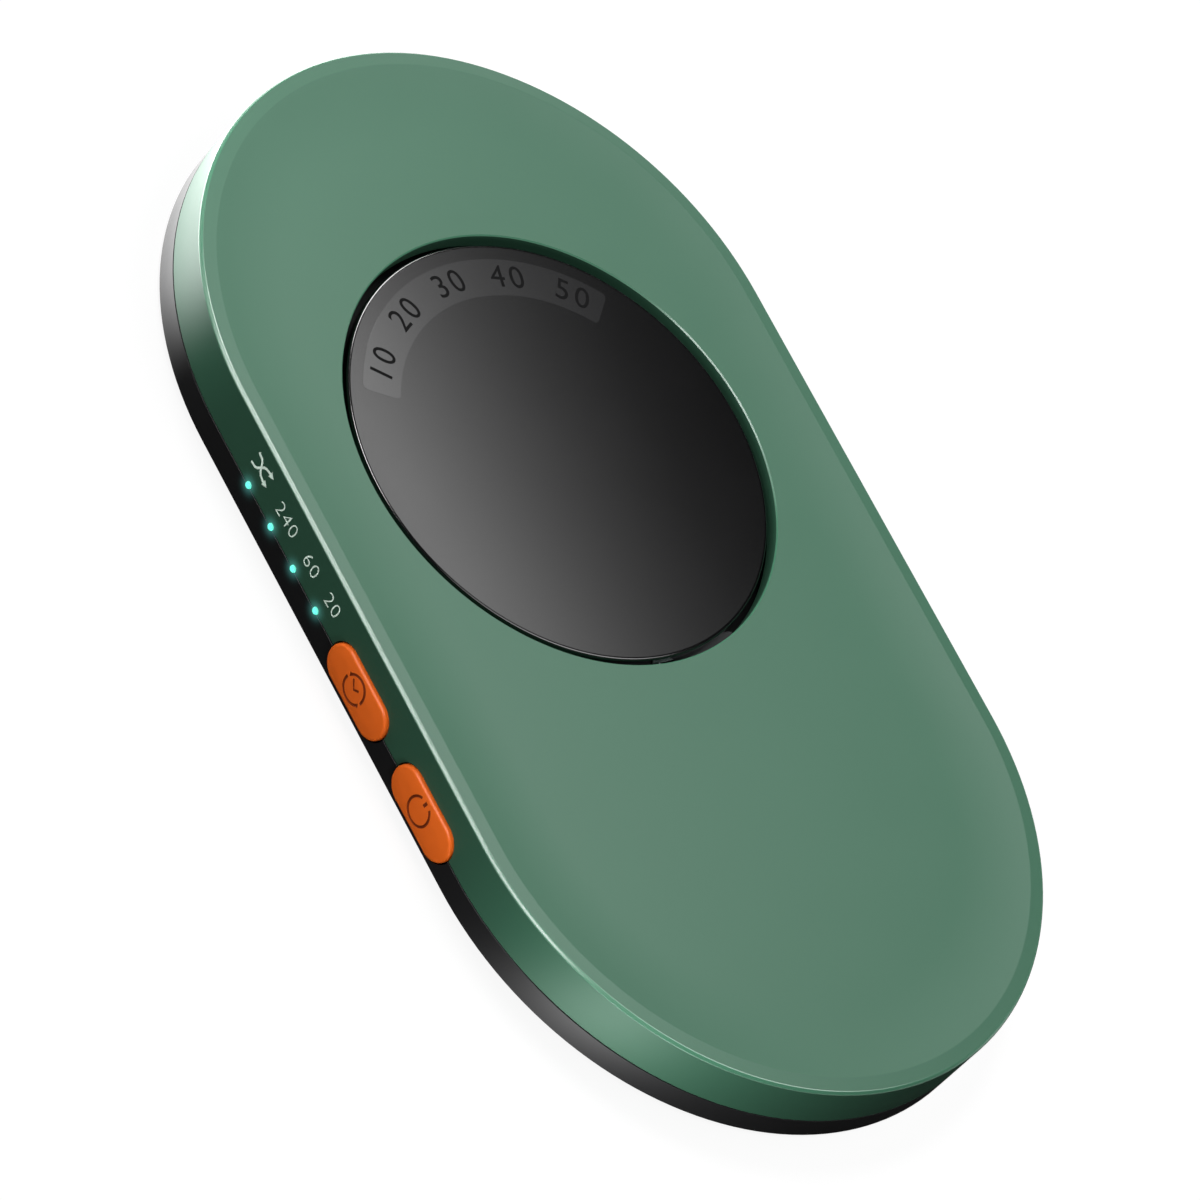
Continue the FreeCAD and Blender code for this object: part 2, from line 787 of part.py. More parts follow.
def make_motor_plate():
    """The thin top plate of the motor, with an ear and a screw hole on each side."""
    z0 = motor_top
    z1 = motor_top + motor_plate_thick
    plate = disc(0, motor_y, motor_radius, z0, z1)
    bar = block(
        -motor_ear_reach, motor_ear_reach, motor_y - motor_ear_radius, motor_y + motor_ear_radius, z0, z1
    )
    ears = [disc(x, y, motor_ear_radius, z0, z1) for x, y in motor_screw_places]
    plate = joined(plate, bar, *ears)
    cuts = [disc(x, y, screw_radius + motor_hole_fit, z0, z1) for x, y in motor_screw_places]
    cuts.append(disc(0, motor_y, motor_bearing_radius, z0, z1))
    return plate.cut(cuts)


def make_motor_bearings():
    """The motor's two sleeve bearings, one on the can's floor and one in the plate."""
    bore = motor_shaft_radius + running_clearance
    plate_top_z = motor_top + motor_plate_thick
    return Part.makeCompound([
        ring(0, motor_y, motor_bearing_radius, bore, can_floor_z, can_floor_z + motor_bearing_rise),
        ring(0, motor_y, motor_bearing_radius, bore, plate_top_z - motor_bearing_rise, plate_top_z),
    ])


def make_coil():
    return ring(
        0, motor_y, motor_radius - motor_can_wall - coil_gap, coil_inner_radius,
        can_floor_z, motor_top - motor_inside_gap,
    )


def make_magnet():
    return ring(
        0, motor_y, magnet_radius, motor_shaft_radius,
        can_floor_z + motor_bearing_rise + shaft_end_play, motor_top - motor_inside_gap,
    )


def make_motor_shaft():
    return disc(0, motor_y, motor_shaft_radius, can_floor_z + shaft_end_play, wheel_top + shaft_tip)


def make_driver():
    driver = moved(gear_prism(driver_teeth, 90 + 180 / driver_teeth, driver_z, wheel_top), 0, motor_y)
    return driver.cut(disc(0, motor_y, motor_shaft_radius, 0, rim_z))


def make_button(y):
    """A rounded cap with two ears that keep it in the wall, and a nub that meets the switch."""
    face_x = -(end_radius + button_proud)
    cap = long_hole(y, cap_z, button_length, button_height, face_x, ear_x)
    rim = [e for e in cap.Edges if e.BoundBox.XMax < face_x + 1e-6]
    cap = cap.makeFillet(button_round, rim)
    half = button_length / 2 + ear_length
    ears = block(ear_x, ear_end_x, y - half, y + half, button_z - ear_height / 2, button_z + ear_height / 2)
    nub = Part.makeCylinder(nub_radius, nub_rise, Vector(ear_end_x, y, button_z), Vector(1, 0, 0))
    return joined(cap, ears, nub)


def make_plunger(y):
    return Part.makeCylinder(
        plunger_radius, plunger_reach + plunger_depth - button_travel - plunger_end_gap,
        Vector(nub_x, y, button_z), Vector(1, 0, 0),
    )


def make_switch(y):
    """A side-acting tact switch: a block with a well for its plunger."""
    body = block(
        switch_x, switch_x + switch_depth, y - switch_width / 2, y + switch_width / 2,
        board_top, board_top + switch_height,
    )
    well = Part.makeCylinder(
        plunger_radius + plunger_fit, plunger_depth, Vector(switch_x, y, button_z), Vector(1, 0, 0)
    )
    return body.cut(well)


def make_lamp(y):
    """A side-facing lamp with a domed face."""
    body = block(
        lamp_x + lamp_dome, lamp_x + lamp_depth, y - lamp_width / 2, y + lamp_width / 2,
        board_top, board_top + lamp_height,
    )
    dome = Part.makeCylinder(guide_radius, lamp_dome, Vector(lamp_x, y, lamp_z), Vector(1, 0, 0))
    return joined(body, dome)


def make_light_guide():
    """Four clear rods on one bar, from the lamps to the outside of the wall."""
    start = -(end_radius + guide_proud)
    bar_x = ear_end_x + guide_bar_gap
    rods = []
    for y in lamp_ys:
        rods.append(Part.makeCylinder(
            guide_radius, bar_x + guide_bar_depth / 2 - start, Vector(start, y, lamp_z), Vector(1, 0, 0)
        ))
    bar = block(
        bar_x, bar_x + guide_bar_depth, lamp_ys[0] - lamp_width / 2, lamp_ys[-1] + lamp_width / 2,
        lamp_z - guide_bar_height / 2, lamp_z + guide_bar_height / 2,
    )
    return joined(bar, *rods)


def board_holes():
    """The screw holes of both boards, and the room that they leave round the case's posts."""
    holes = [disc(x, y, screw_radius + board_hole_fit, board_z, board_top) for x, y in board_screw_places]
    notches = [disc(x, y, case_post_radius + board_clear, board_z, board_top) for x, y in case_screw_places]
    return holes + notches


def make_main_board():
    strip = block(board_edge_x, strip_x, strip_y[0], strip_y[1], board_z, board_top)
    foot = block(
        board_edge_x, board_foot_x, motor_y - board_foot_below, motor_y + board_foot_above,
        board_z, board_top,
    )
    board = joined(strip, foot).common(outline(board_inset, board_z, board_top))
    return board.cut(board_holes())


def make_usb_board():
    board = block(
        -usb_board_width / 2, usb_board_width / 2, usb_board_y, body_length / 2, board_z, board_top
    )
    board = board.common(outline(board_inset, board_z, board_top))
    return board.cut(board_holes())


def make_chip():
    """The controller: a moulded body with a row of legs on each side."""
    x = board_foot_x - chip_from_edge
    y = motor_y + chip_past_motor
    body = block(
        x, x + chip_width, y, y + chip_length, board_top + chip_leg_thick / 2, board_top + chip_rise
    )
    pitch = chip_length / chip_leg_count
    legs = []
    for i in range(chip_leg_count):
        middle = y + pitch * (i + 0.5)
        legs.append(block(
            x - chip_leg_reach, x + chip_width + chip_leg_reach,
            middle - chip_leg_width / 2, middle + chip_leg_width / 2,
            board_top, board_top + chip_leg_thick,
        ))
    return joined(body, *legs)


def make_capacitor():
    """A small can capacitor that lies along Y in a low saddle on the board."""
    x = board_foot_x - capacitor_from_edge
    y = motor_y - capacitor_from_motor
    middle_z = board_top + capacitor_radius + capacitor_lift
    can = Part.makeCylinder(capacitor_radius, capacitor_length, Vector(x, y, middle_z), Vector(0, 1, 0))
    saddle = block(
        x - capacitor_saddle / 2, x + capacitor_saddle / 2, y, y + capacitor_length, board_top, middle_z
    )
    return joined(can, saddle)


def make_motor_socket():
    x = board_foot_x - socket_edge
    return block(
        x - socket_width, x, motor_lead_y - motor_socket_length / 2, motor_lead_y + motor_socket_length / 2,
        board_top, board_top + socket_height,
    )


def make_board_lead_socket():
    end = power_lead_points[-1]
    return block(
        end.x - socket_length / 2, end.x + socket_length / 2, end.y - socket_width, end.y,
        board_top, board_top + socket_height,
    )


def make_usb_lead_socket():
    start = power_lead_points[0]
    return block(
        start.x, start.x + socket_width, start.y - socket_length / 2, start.y + socket_length / 2,
        board_top, board_top + socket_height,
    )


def make_usb_shell():
    """The inlet's steel tube, closed at the back."""
    shell = inlet_prism(usb_width, usb_height, usb_mouth_y - usb_length, usb_mouth_y)
    inside = inlet_prism(
        usb_width - 2 * usb_wall, usb_height - 2 * usb_wall,
        usb_mouth_y - usb_length + usb_wall, usb_mouth_y,
    )
    return shell.cut(inside)


def make_usb_tongue():
    """The inlet's insulator: a back wall and the tongue that carries the contacts."""
    back_y = usb_mouth_y - usb_length + usb_wall
    back = inlet_prism(
        usb_width - 2 * usb_wall, usb_height - 2 * usb_wall, back_y, back_y + usb_back
    )
    tongue = block(
        -tongue_width / 2, tongue_width / 2, back_y + usb_back, back_y + usb_back + tongue_length,
        usb_z - tongue_thick / 2, usb_z + tongue_thick / 2,
    )
    return joined(back, tongue)


def make_foot(x, y):
    foot = disc(x, y, foot_radius, 0, base_z + foot_recess)
    rim = [e for e in foot.Edges if e.BoundBox.ZMax < 1e-6]
    return foot.makeFillet(foot_round, rim)


def lead_gaps():
    """How far each power lead lies to the side of their middle line."""
    return [(i - (lead_count - 1) / 2) * lead_pitch for i in range(lead_count)]


def make_power_leads():
    return Part.makeCompound([tube(beside(power_lead_points, gap), lead_radius) for gap in lead_gaps()])


def make_motor_leads():
    leads = []
    for i in range(motor_lead_count):
        y = motor_lead_y + (i - (motor_lead_count - 1) / 2) * motor_lead_pitch
        leads.append(tube(motor_lead_points(y), motor_lead_radius))
    return Part.makeCompound(leads)


def make_screws():
    """The screws, one compound for each kind."""
    case = [
        screw(x, y, case_head_z, seam_z + case_boss_gap + screw_bite - screw_tip_gap,
              case_screw_radius, case_screw_head_radius, case_screw_head_rise)
        for x, y in case_screw_places
    ]
    board = [
        screw(x, y, board_top, board_point_z + screw_tip_gap,
              screw_radius, screw_head_radius, screw_head_rise)
        for x, y in board_screw_places
    ]
    motor = [
        screw(x, y, motor_top + motor_plate_thick, motor_point_z + screw_tip_gap,
              screw_radius, screw_head_radius, screw_head_rise)
        for x, y in motor_screw_places
    ]
    hub = [
        screw(x, y, ring_z, hub_point_z - screw_tip_gap,
              screw_radius, hub_screw_head_radius, hub_screw_head_rise)
        for x, y in hub_screw_places()
    ]
    return {"case_screws": case, "board_screws": board, "motor_screws": motor, "hub_screws": hub}


def make_all():
    pieces = {
        "top_shell": make_top_shell(),
        "base_tray": make_base_tray(),
        "turntable_plate": make_plate(),
        "plate_tape": ring(0, table_y, flange_radius - tape_inset, tape_inner_radius, flange_top, plate_z),
        "turntable_carrier": make_carrier(),
        "ring_gear": make_ring_gear(),
        "turntable_bush": ring(
            0, table_y, bush_radius, spindle_radius + running_clearance, ring_z, collar_top
        ),
        "spindle": make_spindle(),
        "thrust_washer": ring(
            0, table_y, post_radius - washer_inset, spindle_radius + running_clearance,
            post_z, post_z + washer_thick,
        ),
        "spindle_clip": make_spindle_clip(),
        "idler_gear": make_idler(),
        "idler_pin": make_idler_pin(),
        "idler_clip": ring(
            0, idler_y, idler_clip_radius, idler_pin_radius,
            wheel_top + clip_play, wheel_top + clip_play + clip_thick,
        ),
        "motor_can": make_motor_can(),
        "motor_plate": make_motor_plate(),
        "motor_bearings": make_motor_bearings(),
        "motor_coil": make_coil(),
        "motor_magnet": make_magnet(),
        "motor_shaft": make_motor_shaft(),
        "motor_pinion": make_driver(),
        "interval_button": make_button(button_ys[0]),
        "power_button": make_button(button_ys[1]),
        "interval_switch_plunger": make_plunger(button_ys[0]),
        "power_switch_plunger": make_plunger(button_ys[1]),
        "interval_switch": make_switch(button_ys[0]),
        "power_switch": make_switch(button_ys[1]),
        "light_guide": make_light_guide(),
        "main_board": make_main_board(),
        "usb_board": make_usb_board(),
        "controller_chip": make_chip(),
        "supply_capacitor": make_capacitor(),
        "motor_socket": make_motor_socket(),
        "board_lead_socket": make_board_lead_socket(),
        "usb_lead_socket": make_usb_lead_socket(),
        "usb_shell": make_usb_shell(),
        "usb_tongue": make_usb_tongue(),
        "power_leads": make_power_leads(),
        "motor_leads": make_motor_leads(),
    }
    for i, y in enumerate(lamp_ys):
        pieces["mode_lamp_%d" % (i + 1)] = make_lamp(y)
    for i, (x, y) in enumerate(case_screw_places):
        pieces["rubber_foot_%d" % (i + 1)] = make_foot(x, y)
    for name, solids in make_screws().items():
        pieces[name] = Part.makeCompound(solids)
    return pieces


os.makedirs("parts", exist_ok=True)
for node, shape in make_all().items():
    if not shape.isValid() or not shape.Solids:
        raise ValueError("%s is not a valid solid" % node)
    shape.exportStep("parts/%s.step" % node)
    print(node, len(shape.Solids), round(shape.Volume, 1))
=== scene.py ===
import json
import math

import bmesh
import bpy
from mathutils import Matrix, Vector

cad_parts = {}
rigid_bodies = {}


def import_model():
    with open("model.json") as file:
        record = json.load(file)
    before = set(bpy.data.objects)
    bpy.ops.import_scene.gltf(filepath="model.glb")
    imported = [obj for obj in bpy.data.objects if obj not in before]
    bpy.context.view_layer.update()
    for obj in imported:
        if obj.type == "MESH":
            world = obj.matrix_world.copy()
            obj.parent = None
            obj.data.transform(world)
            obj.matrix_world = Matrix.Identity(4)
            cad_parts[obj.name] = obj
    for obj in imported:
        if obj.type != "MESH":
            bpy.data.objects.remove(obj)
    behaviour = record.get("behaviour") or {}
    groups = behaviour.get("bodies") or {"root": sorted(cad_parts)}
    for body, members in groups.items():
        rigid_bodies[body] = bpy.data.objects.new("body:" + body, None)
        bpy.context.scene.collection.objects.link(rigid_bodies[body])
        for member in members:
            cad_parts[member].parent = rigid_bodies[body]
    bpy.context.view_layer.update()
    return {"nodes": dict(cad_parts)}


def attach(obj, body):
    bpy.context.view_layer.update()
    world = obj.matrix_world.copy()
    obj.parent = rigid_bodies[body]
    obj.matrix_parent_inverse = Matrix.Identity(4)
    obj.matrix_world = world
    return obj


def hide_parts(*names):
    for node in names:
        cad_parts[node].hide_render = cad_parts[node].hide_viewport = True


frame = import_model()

# Mouse jiggler, lying on a desk. Pieces are shaped in millimetres, and settle() brings them down to metres.
# +Z is up, +Y is the turntable's end and -X is the wall with the keys.

mm = 0.001
print("frame loaded,", len(frame["nodes"]), "nodes")


def clearSelection():
    if bpy.context.object and bpy.context.object.mode != "OBJECT":
        bpy.ops.object.mode_set(mode="OBJECT")
    bpy.ops.object.select_all(action="DESELECT")


def choose(*pieces):
    clearSelection()
    for piece in pieces:
        piece.select_set(True)
    bpy.context.view_layer.objects.active = pieces[0]
    return pieces[0]


def edit(piece, mode="FACE"):
    choose(piece)
    bpy.ops.object.mode_set(mode="EDIT")
    bpy.ops.mesh.select_mode(type=mode)
    bpy.ops.mesh.select_all(action="DESELECT")


def leave():
    bpy.ops.object.mode_set(mode="OBJECT")


def selectAll():
    bpy.ops.mesh.select_all(action="SELECT")


def pick(kind, test):
    # selects verts, edges or faces of the piece in edit mode by their place
    mesh = bmesh.from_edit_mesh(bpy.context.object.data)
    mesh.normal_update()
    bpy.ops.mesh.select_all(action="DESELECT")
    for part in getattr(mesh, kind):
        if kind == "verts":
            part.select_set(test(part.co))
        elif kind == "faces":
            part.select_set(test(part.calc_center_median(), part.normal))
        else:
            part.select_set(all(test(v.co) for v in part.verts))
    mesh.select_flush_mode()
    bmesh.update_edit_mesh(bpy.context.object.data)


def named(name):
    piece = bpy.context.object
    piece.name = piece.data.name = name
    return piece


def extrude(step):
    bpy.ops.mesh.extrude_region_move(TRANSFORM_OT_translate={"value": step})


def spin(steps, degrees, y=0):
    # clockwise for a minus, round an upright axis on the case's middle line
    bpy.ops.mesh.spin(steps=steps, angle=math.radians(degrees), center=(0, y, 0), axis=(0, 0, 1))


def cylinder(name, x, y, radius, low, high, sides=48):
    clearSelection()
    bpy.ops.mesh.primitive_cylinder_add(
        vertices=sides, radius=radius, depth=high - low, location=(x, y, (low + high) / 2)
    )
    bpy.ops.object.transform_apply()
    return named(name)


def block(name, low, high):
    clearSelection()
    middle = [(a + b) / 2 for a, b in zip(low, high)]
    size = [b - a for a, b in zip(low, high)]
    bpy.ops.mesh.primitive_cube_add(size=1, location=middle, scale=size)
    bpy.ops.object.transform_apply()
    return named(name)


def longDisc(name, length, height, depth, sides=50):
    # a disc stretched into a rounded slab: long in Y, thick in X, with its back on x = 0
    clearSelection()
    bpy.ops.mesh.primitive_cylinder_add(vertices=sides, radius=height / 2, depth=depth)
    edit(named(name), "VERT")
    for side in (1, -1):
        pick("verts", lambda co: co.y * side > 0)
        bpy.ops.transform.translate(value=(0, side * (length - height) / 2, 0))
    leave()
    return turnTo(bpy.context.object, (0, -90, 0), (-depth / 2, 0, 0))


def turnTo(piece, turn, spot=(0, 0, 0)):
    # turned in degrees round X, Y and Z, then moved
    choose(piece)
    piece.rotation_euler = [math.radians(angle) for angle in turn]
    piece.location = spot
    bpy.ops.object.transform_apply()
    return piece


def place(piece, x=0, y=0, z=0, turn=0):
    return turnTo(piece, (0, 0, turn), (x, y, z))


def ontoLeftWall(piece, x, y, z):
    # stands up what was drawn flat, so that it reads towards the palm end with its top up
    choose(piece)
    piece.matrix_world = Matrix(((0, 0, -1, x), (-1, 0, 0, y), (0, 1, 0, z), (0, 0, 0, 1)))
    bpy.ops.object.transform_apply()
    return piece


def barBetween(name, start, end, width, low, high, overlap=0):
    (x0, y0), (x1, y1) = start, end
    length = math.hypot(x1 - x0, y1 - y0)
    bar = block(name, (-width / 2, -overlap, low), (width / 2, length + overlap, high))
    return place(bar, x0, y0, 0, math.degrees(math.atan2(x0 - x1, y1 - y0)))


def copyOf(piece, name):
    choose(piece)
    bpy.ops.object.duplicate()
    return named(name)


def joined(*pieces):
    choose(*pieces)
    if len(pieces) > 1:
        bpy.ops.object.join()
    return bpy.context.object


def useModifier(piece, kind, **values):
    choose(piece)
    modifier = piece.modifiers.new(kind, kind)
    for key, value in values.items():
        setattr(modifier, key, value)
    bpy.ops.object.modifier_apply(modifier=modifier.name)
    return piece


def carve(piece, tool, operation="DIFFERENCE"):
    useModifier(piece, "BOOLEAN", object=tool, operation=operation, solver="EXACT")
    bpy.data.objects.remove(tool)
    return piece


def weld(piece, distance=0.002):
    edit(piece, "VERT")
    selectAll()
    bpy.ops.mesh.remove_doubles(threshold=distance)
    bpy.ops.mesh.normals_make_consistent(inside=False)
    leave()
    return piece


def drawSection(name, points):
    # a single point, extruded from one corner of the section to the next
    clearSelection()
    bpy.ops.mesh.primitive_plane_add(size=1)
    edit(named(name), "VERT")
    selectAll()
    bpy.ops.mesh.merge(type="CENTER")
    bpy.ops.transform.translate(value=(points[0][0], 0, points[0][1]))
    for here, there in zip(points, points[1:]):
        extrude((there[0] - here[0], 0, there[1] - here[1]))
    leave()
    return bpy.context.object


def softCorners(points, radius, steps=3):
    # rounds the corners of a section between its two ends; a third number is a corner's own radius
    made = [tuple(points[0][:2])]
    for before, corner, after in zip(points, points[1:], points[2:]):
        a, c, b = Vector(before[:2]), Vector(corner[:2]), Vector(after[:2])
        back, ahead = (a - c), (b - c)
        own = corner[2] if len(corner) > 2 else radius
        reach = min(own, back.length * 0.48, ahead.length * 0.48)
        start, end = c + back.normalized() * reach, c + ahead.normalized() * reach
        for i in range(steps + 1):
            t = i / steps
            made.append(tuple((1 - t) ** 2 * start + 2 * t * (1 - t) * c + t * t * end))
    made.append(tuple(points[-1][:2]))
    return made


def turned(name, points, steps=64):
    # a section turned right round the Z axis
    piece = drawSection(name, points)
    edit(piece, "VERT")
    selectAll()
    spin(steps, 360)
    leave()
    return weld(piece)


def carried(name, points, endOffset, steps=40):
    # a section swept round a long case: one quarter, then mirrored twice
    piece = place(drawSection(name, points), y=endOffset)
    edit(piece, "VERT")
    selectAll()
    spin(steps, -90, endOffset)
    pick("verts", lambda co: co.y < endOffset + 0.001)
    bpy.ops.mesh.select_mode(type="EDGE")
    extrude((0, -endOffset, 0))
    leave()
    weld(piece)
    useModifier(piece, "MIRROR", use_axis=(True, True, False), merge_threshold=0.002)
    return weld(piece)


def smooth(piece, angle=24):
    choose(piece)
    bpy.ops.object.shade_smooth_by_angle(angle=math.radians(angle))
    useModifier(piece, "WEIGHTED_NORMAL", keep_sharp=True, weight=60)
    return piece


def dress(piece, *materials):
    piece.data.materials.clear()
    for material in materials:
        piece.data.materials.append(material)


def settle(piece, body, material, slot, *nodes):
    # down to metres, dressed unless it is already, and hung on its body
    choose(piece)
    piece.scale = (mm, mm, mm)
    bpy.ops.object.transform_apply()
    if material is not None:
        dress(piece, material)
    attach(piece, body)
    if nodes:
        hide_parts(*nodes)
    return piece


def feed(tree, socket, value):
    # an output is wired in, a plain value is typed in
    if isinstance(value, bpy.types.NodeSocket):
        tree.links.new(value, socket)
    else:
        socket.default_value = value


def calc(tree, kind, *values):
    node = tree.nodes.new("ShaderNodeMath")
    node.operation = kind
    for socket, value in zip(node.inputs, values):
        feed(tree, socket, value)
    return node.outputs[0]


def objectSpot(tree):
    # where on the piece, as a vector and as its three numbers in metres
    coords = tree.nodes.new("ShaderNodeTexCoord")
    parts = tree.nodes.new("ShaderNodeSeparateXYZ")
    tree.links.new(coords.outputs["Object"], parts.inputs[0])
    return coords.outputs["Object"], parts.outputs


def makeNoise(tree, vector, scale, detail):
    noise = tree.nodes.new("ShaderNodeTexNoise")
    feed(tree, noise.inputs["Vector"], vector)
    feed(tree, noise.inputs["Scale"], scale)
    noise.inputs["Detail"].default_value = detail
    return noise.outputs["Fac"]


def makeBump(tree, height, distance):
    bump = tree.nodes.new("ShaderNodeBump")
    feed(tree, bump.inputs["Distance"], distance)
    feed(tree, bump.inputs["Height"], height)
    return bump.outputs["Normal"]


def scaled(tree, vector, amount):
    node = tree.nodes.new("ShaderNodeVectorMath")
    node.operation = "SCALE"
    feed(tree, node.inputs[0], vector)
    feed(tree, node.inputs["Scale"], amount)
    return node.outputs[0]


def fading(tree, amount):
    # 1 where the amount is nothing, and 1/e where it is 1
    return calc(tree, "POWER", 0.3679, amount)


def makeGroup(name, *sockets):
    group = bpy.data.node_groups.new(name, "ShaderNodeTree")
    for label, side, kind, value in sockets:
        socket = group.interface.new_socket(name=label, in_out=side, socket_type="NodeSocket" + kind)
        if value is not None:
            socket.default_value = value
    given = group.nodes.new("NodeGroupInput").outputs
    return group, given, group.nodes.new("NodeGroupOutput").inputs


def makeGrainGroup():
    # fine grain and slow blotches: shifts a colour and a roughness, and gives a normal
    group, given, out = makeGroup(
        "fineGrain",
        ("Colour", "INPUT", "Color", (0.5, 0.5, 0.5, 1)), ("Blotch", "INPUT", "Float", 0.05),
        ("Roughness", "INPUT", "Float", 0.4), ("Roughness Spread", "INPUT", "Float", 0.05),
        ("Grain Size", "INPUT", "Float", 0.2), ("Grain Height", "INPUT", "Float", 0.004),
        ("Colour", "OUTPUT", "Color", None), ("Roughness", "OUTPUT", "Float", None),
        ("Normal", "OUTPUT", "Vector", None),
    )
    spot = objectSpot(group)[0]
    grain = makeNoise(group, spot, calc(group, "DIVIDE", 1 / mm, given["Grain Size"]), 2)
    blotch = makeNoise(group, spot, 90, 4)
    both = calc(group, "MULTIPLY_ADD", blotch, 0.65, calc(group, "MULTIPLY", grain, 0.35))
    swing = calc(group, "MULTIPLY", calc(group, "SUBTRACT", both, 0.5), 4)
    tint = calc(group, "MULTIPLY_ADD", swing, given["Blotch"], 1)
    feed(group, out["Colour"], scaled(group, given["Colour"], tint))
    rough = calc(group, "MULTIPLY_ADD", swing, given["Roughness Spread"], given["Roughness"])
    feed(group, out["Roughness"], rough)
    feed(group, out["Normal"], makeBump(group, grain, calc(group, "MULTIPLY", given["Grain Height"], mm)))
    return group


def makeTurnedGroup():
    # fine scratches that run along Y, as on turned or rolled metal
    group, given, out = makeGroup(
        "turnedMarks", ("Spacing", "INPUT", "Float", 0.2), ("Height", "INPUT", "Float", 0.002),
        ("Normal", "OUTPUT", "Vector", None),
    )
    squeeze = group.nodes.new("ShaderNodeMapping")
    squeeze.inputs["Scale"].default_value = (1, 0.06, 1)
    feed(group, squeeze.inputs["Vector"], objectSpot(group)[0])
    marks = makeNoise(group, squeeze.outputs[0], calc(group, "DIVIDE", 1 / mm, given["Spacing"]), 3)
    feed(group, out["Normal"], makeBump(group, marks, calc(group, "MULTIPLY", given["Height"], mm)))
    return group


lamp = {
    # places on the left wall, then the rods' size, and the light at their tips: their own teal, and the glow
    # painted round them on the plastics
    "firstY": 4.8, "spacing": 5.54, "count": 4, "z": 4.05, "radius": 0.44, "gap": 0.05, "tip": -40.2,
    "holeFrom": -36, "holeDeep": 6, "teal": (90, 232, 208), "tealReach": 0.5,
    "halo": (0.045, 0.18, 0.165), "haloReach": 0.89, "haloFrom": -38,
}
lampYs = [round(lamp["firstY"] + i * lamp["spacing"], 2) for i in range(lamp["count"])]


def makeHaloGroup():
    # painted glow: soft light round the four lamps on the wall, painted as emission onto the plastics beside
    # them
    group, given, out = makeGroup(
        "lampHalo", ("Colour", "INPUT", "Color", lamp["halo"] + (1,)),
        ("Reach", "INPUT", "Float", lamp["haloReach"]), ("Glow", "OUTPUT", "Color", None),
    )
    x, y, z = [calc(group, "MULTIPLY", part, 1 / mm) for part in objectSpot(group)[1]]
    half = lamp["spacing"] / 2
    along = calc(group, "WRAP", calc(group, "SUBTRACT", y, lamp["firstY"]), half, -half)
    up = calc(group, "SUBTRACT", z, lamp["z"])
    square = calc(group, "MULTIPLY_ADD", along, along, calc(group, "MULTIPLY", up, up))
    fade = calc(group, "DIVIDE", square, calc(group, "MULTIPLY", given["Reach"], given["Reach"]))
    middle = lamp["firstY"] + half * (lamp["count"] - 1)
    inRow = calc(group, "COMPARE", y, middle, half * lamp["count"])
    onWall = calc(group, "LESS_THAN", x, lamp["haloFrom"])
    mask = calc(group, "MULTIPLY", fading(group, fade), calc(group, "MULTIPLY", inRow, onWall))
    feed(group, out["Glow"], scaled(group, given["Colour"], mask))
    return group


grainGroup = makeGrainGroup()
turnedGroup = makeTurnedGroup()
haloGroup = makeHaloGroup()


def shade(value):
    # 0-255 screen colour to the linear one that nodes take
    linear = [(v / 255 / 12.92) if v <= 10 else ((v / 255 + 0.055) / 1.055) ** 2.4 for v in value]
    return tuple(linear) + (1,)


def addGroup(tree, group, **values):
    node = tree.nodes.new("ShaderNodeGroup")
    node.node_tree = group
    for key, value in values.items():
        node.inputs[key.replace("_", " ")].default_value = value
    return node.outputs


def makeFinish(name, colour, roughness=0.4, spread=0.03, blotch=0.03, grain=0.2, height=0.003, **sockets):
    material = bpy.data.materials.new(name)
    material.use_nodes = True
    tree = material.node_tree
    skin = tree.nodes["Principled BSDF"].inputs
    surface = addGroup(
        tree, grainGroup, Colour=shade(colour), Blotch=blotch,
        Roughness=roughness, Roughness_Spread=spread, Grain_Size=grain, Grain_Height=height,
    )
    for label, result in (("Base Color", "Colour"), ("Roughness", "Roughness"), ("Normal", "Normal")):
        feed(tree, skin[label], surface[result])
    for key, value in sockets.items():
        skin[key.replace("_", " ")].default_value = value
    return material


def makeMetal(name, *look, marks=0.15, depth=0.002):
    # turned marks in place of the plain grain
    material = makeFinish(name, *look, Metallic=1.0)
    tree = material.node_tree
    turned = addGroup(tree, turnedGroup, Spacing=marks, Height=depth)
    feed(tree, tree.nodes["Principled BSDF"].inputs["Normal"], turned["Normal"])
    return material


def lampLit(material, colour=lamp["halo"] + (1,), reach=lamp["haloReach"]):
    # the lamps' light as a glow in a plastic's emission: the rods' own light on the guide, painted light on
    # the plastics beside them
    tree = material.node_tree
    skin = tree.nodes["Principled BSDF"].inputs
    feed(tree, skin["Emission Color"], addGroup(tree, haloGroup, Colour=colour, Reach=reach)["Glow"])
    skin["Emission Strength"].default_value = 1
    return material


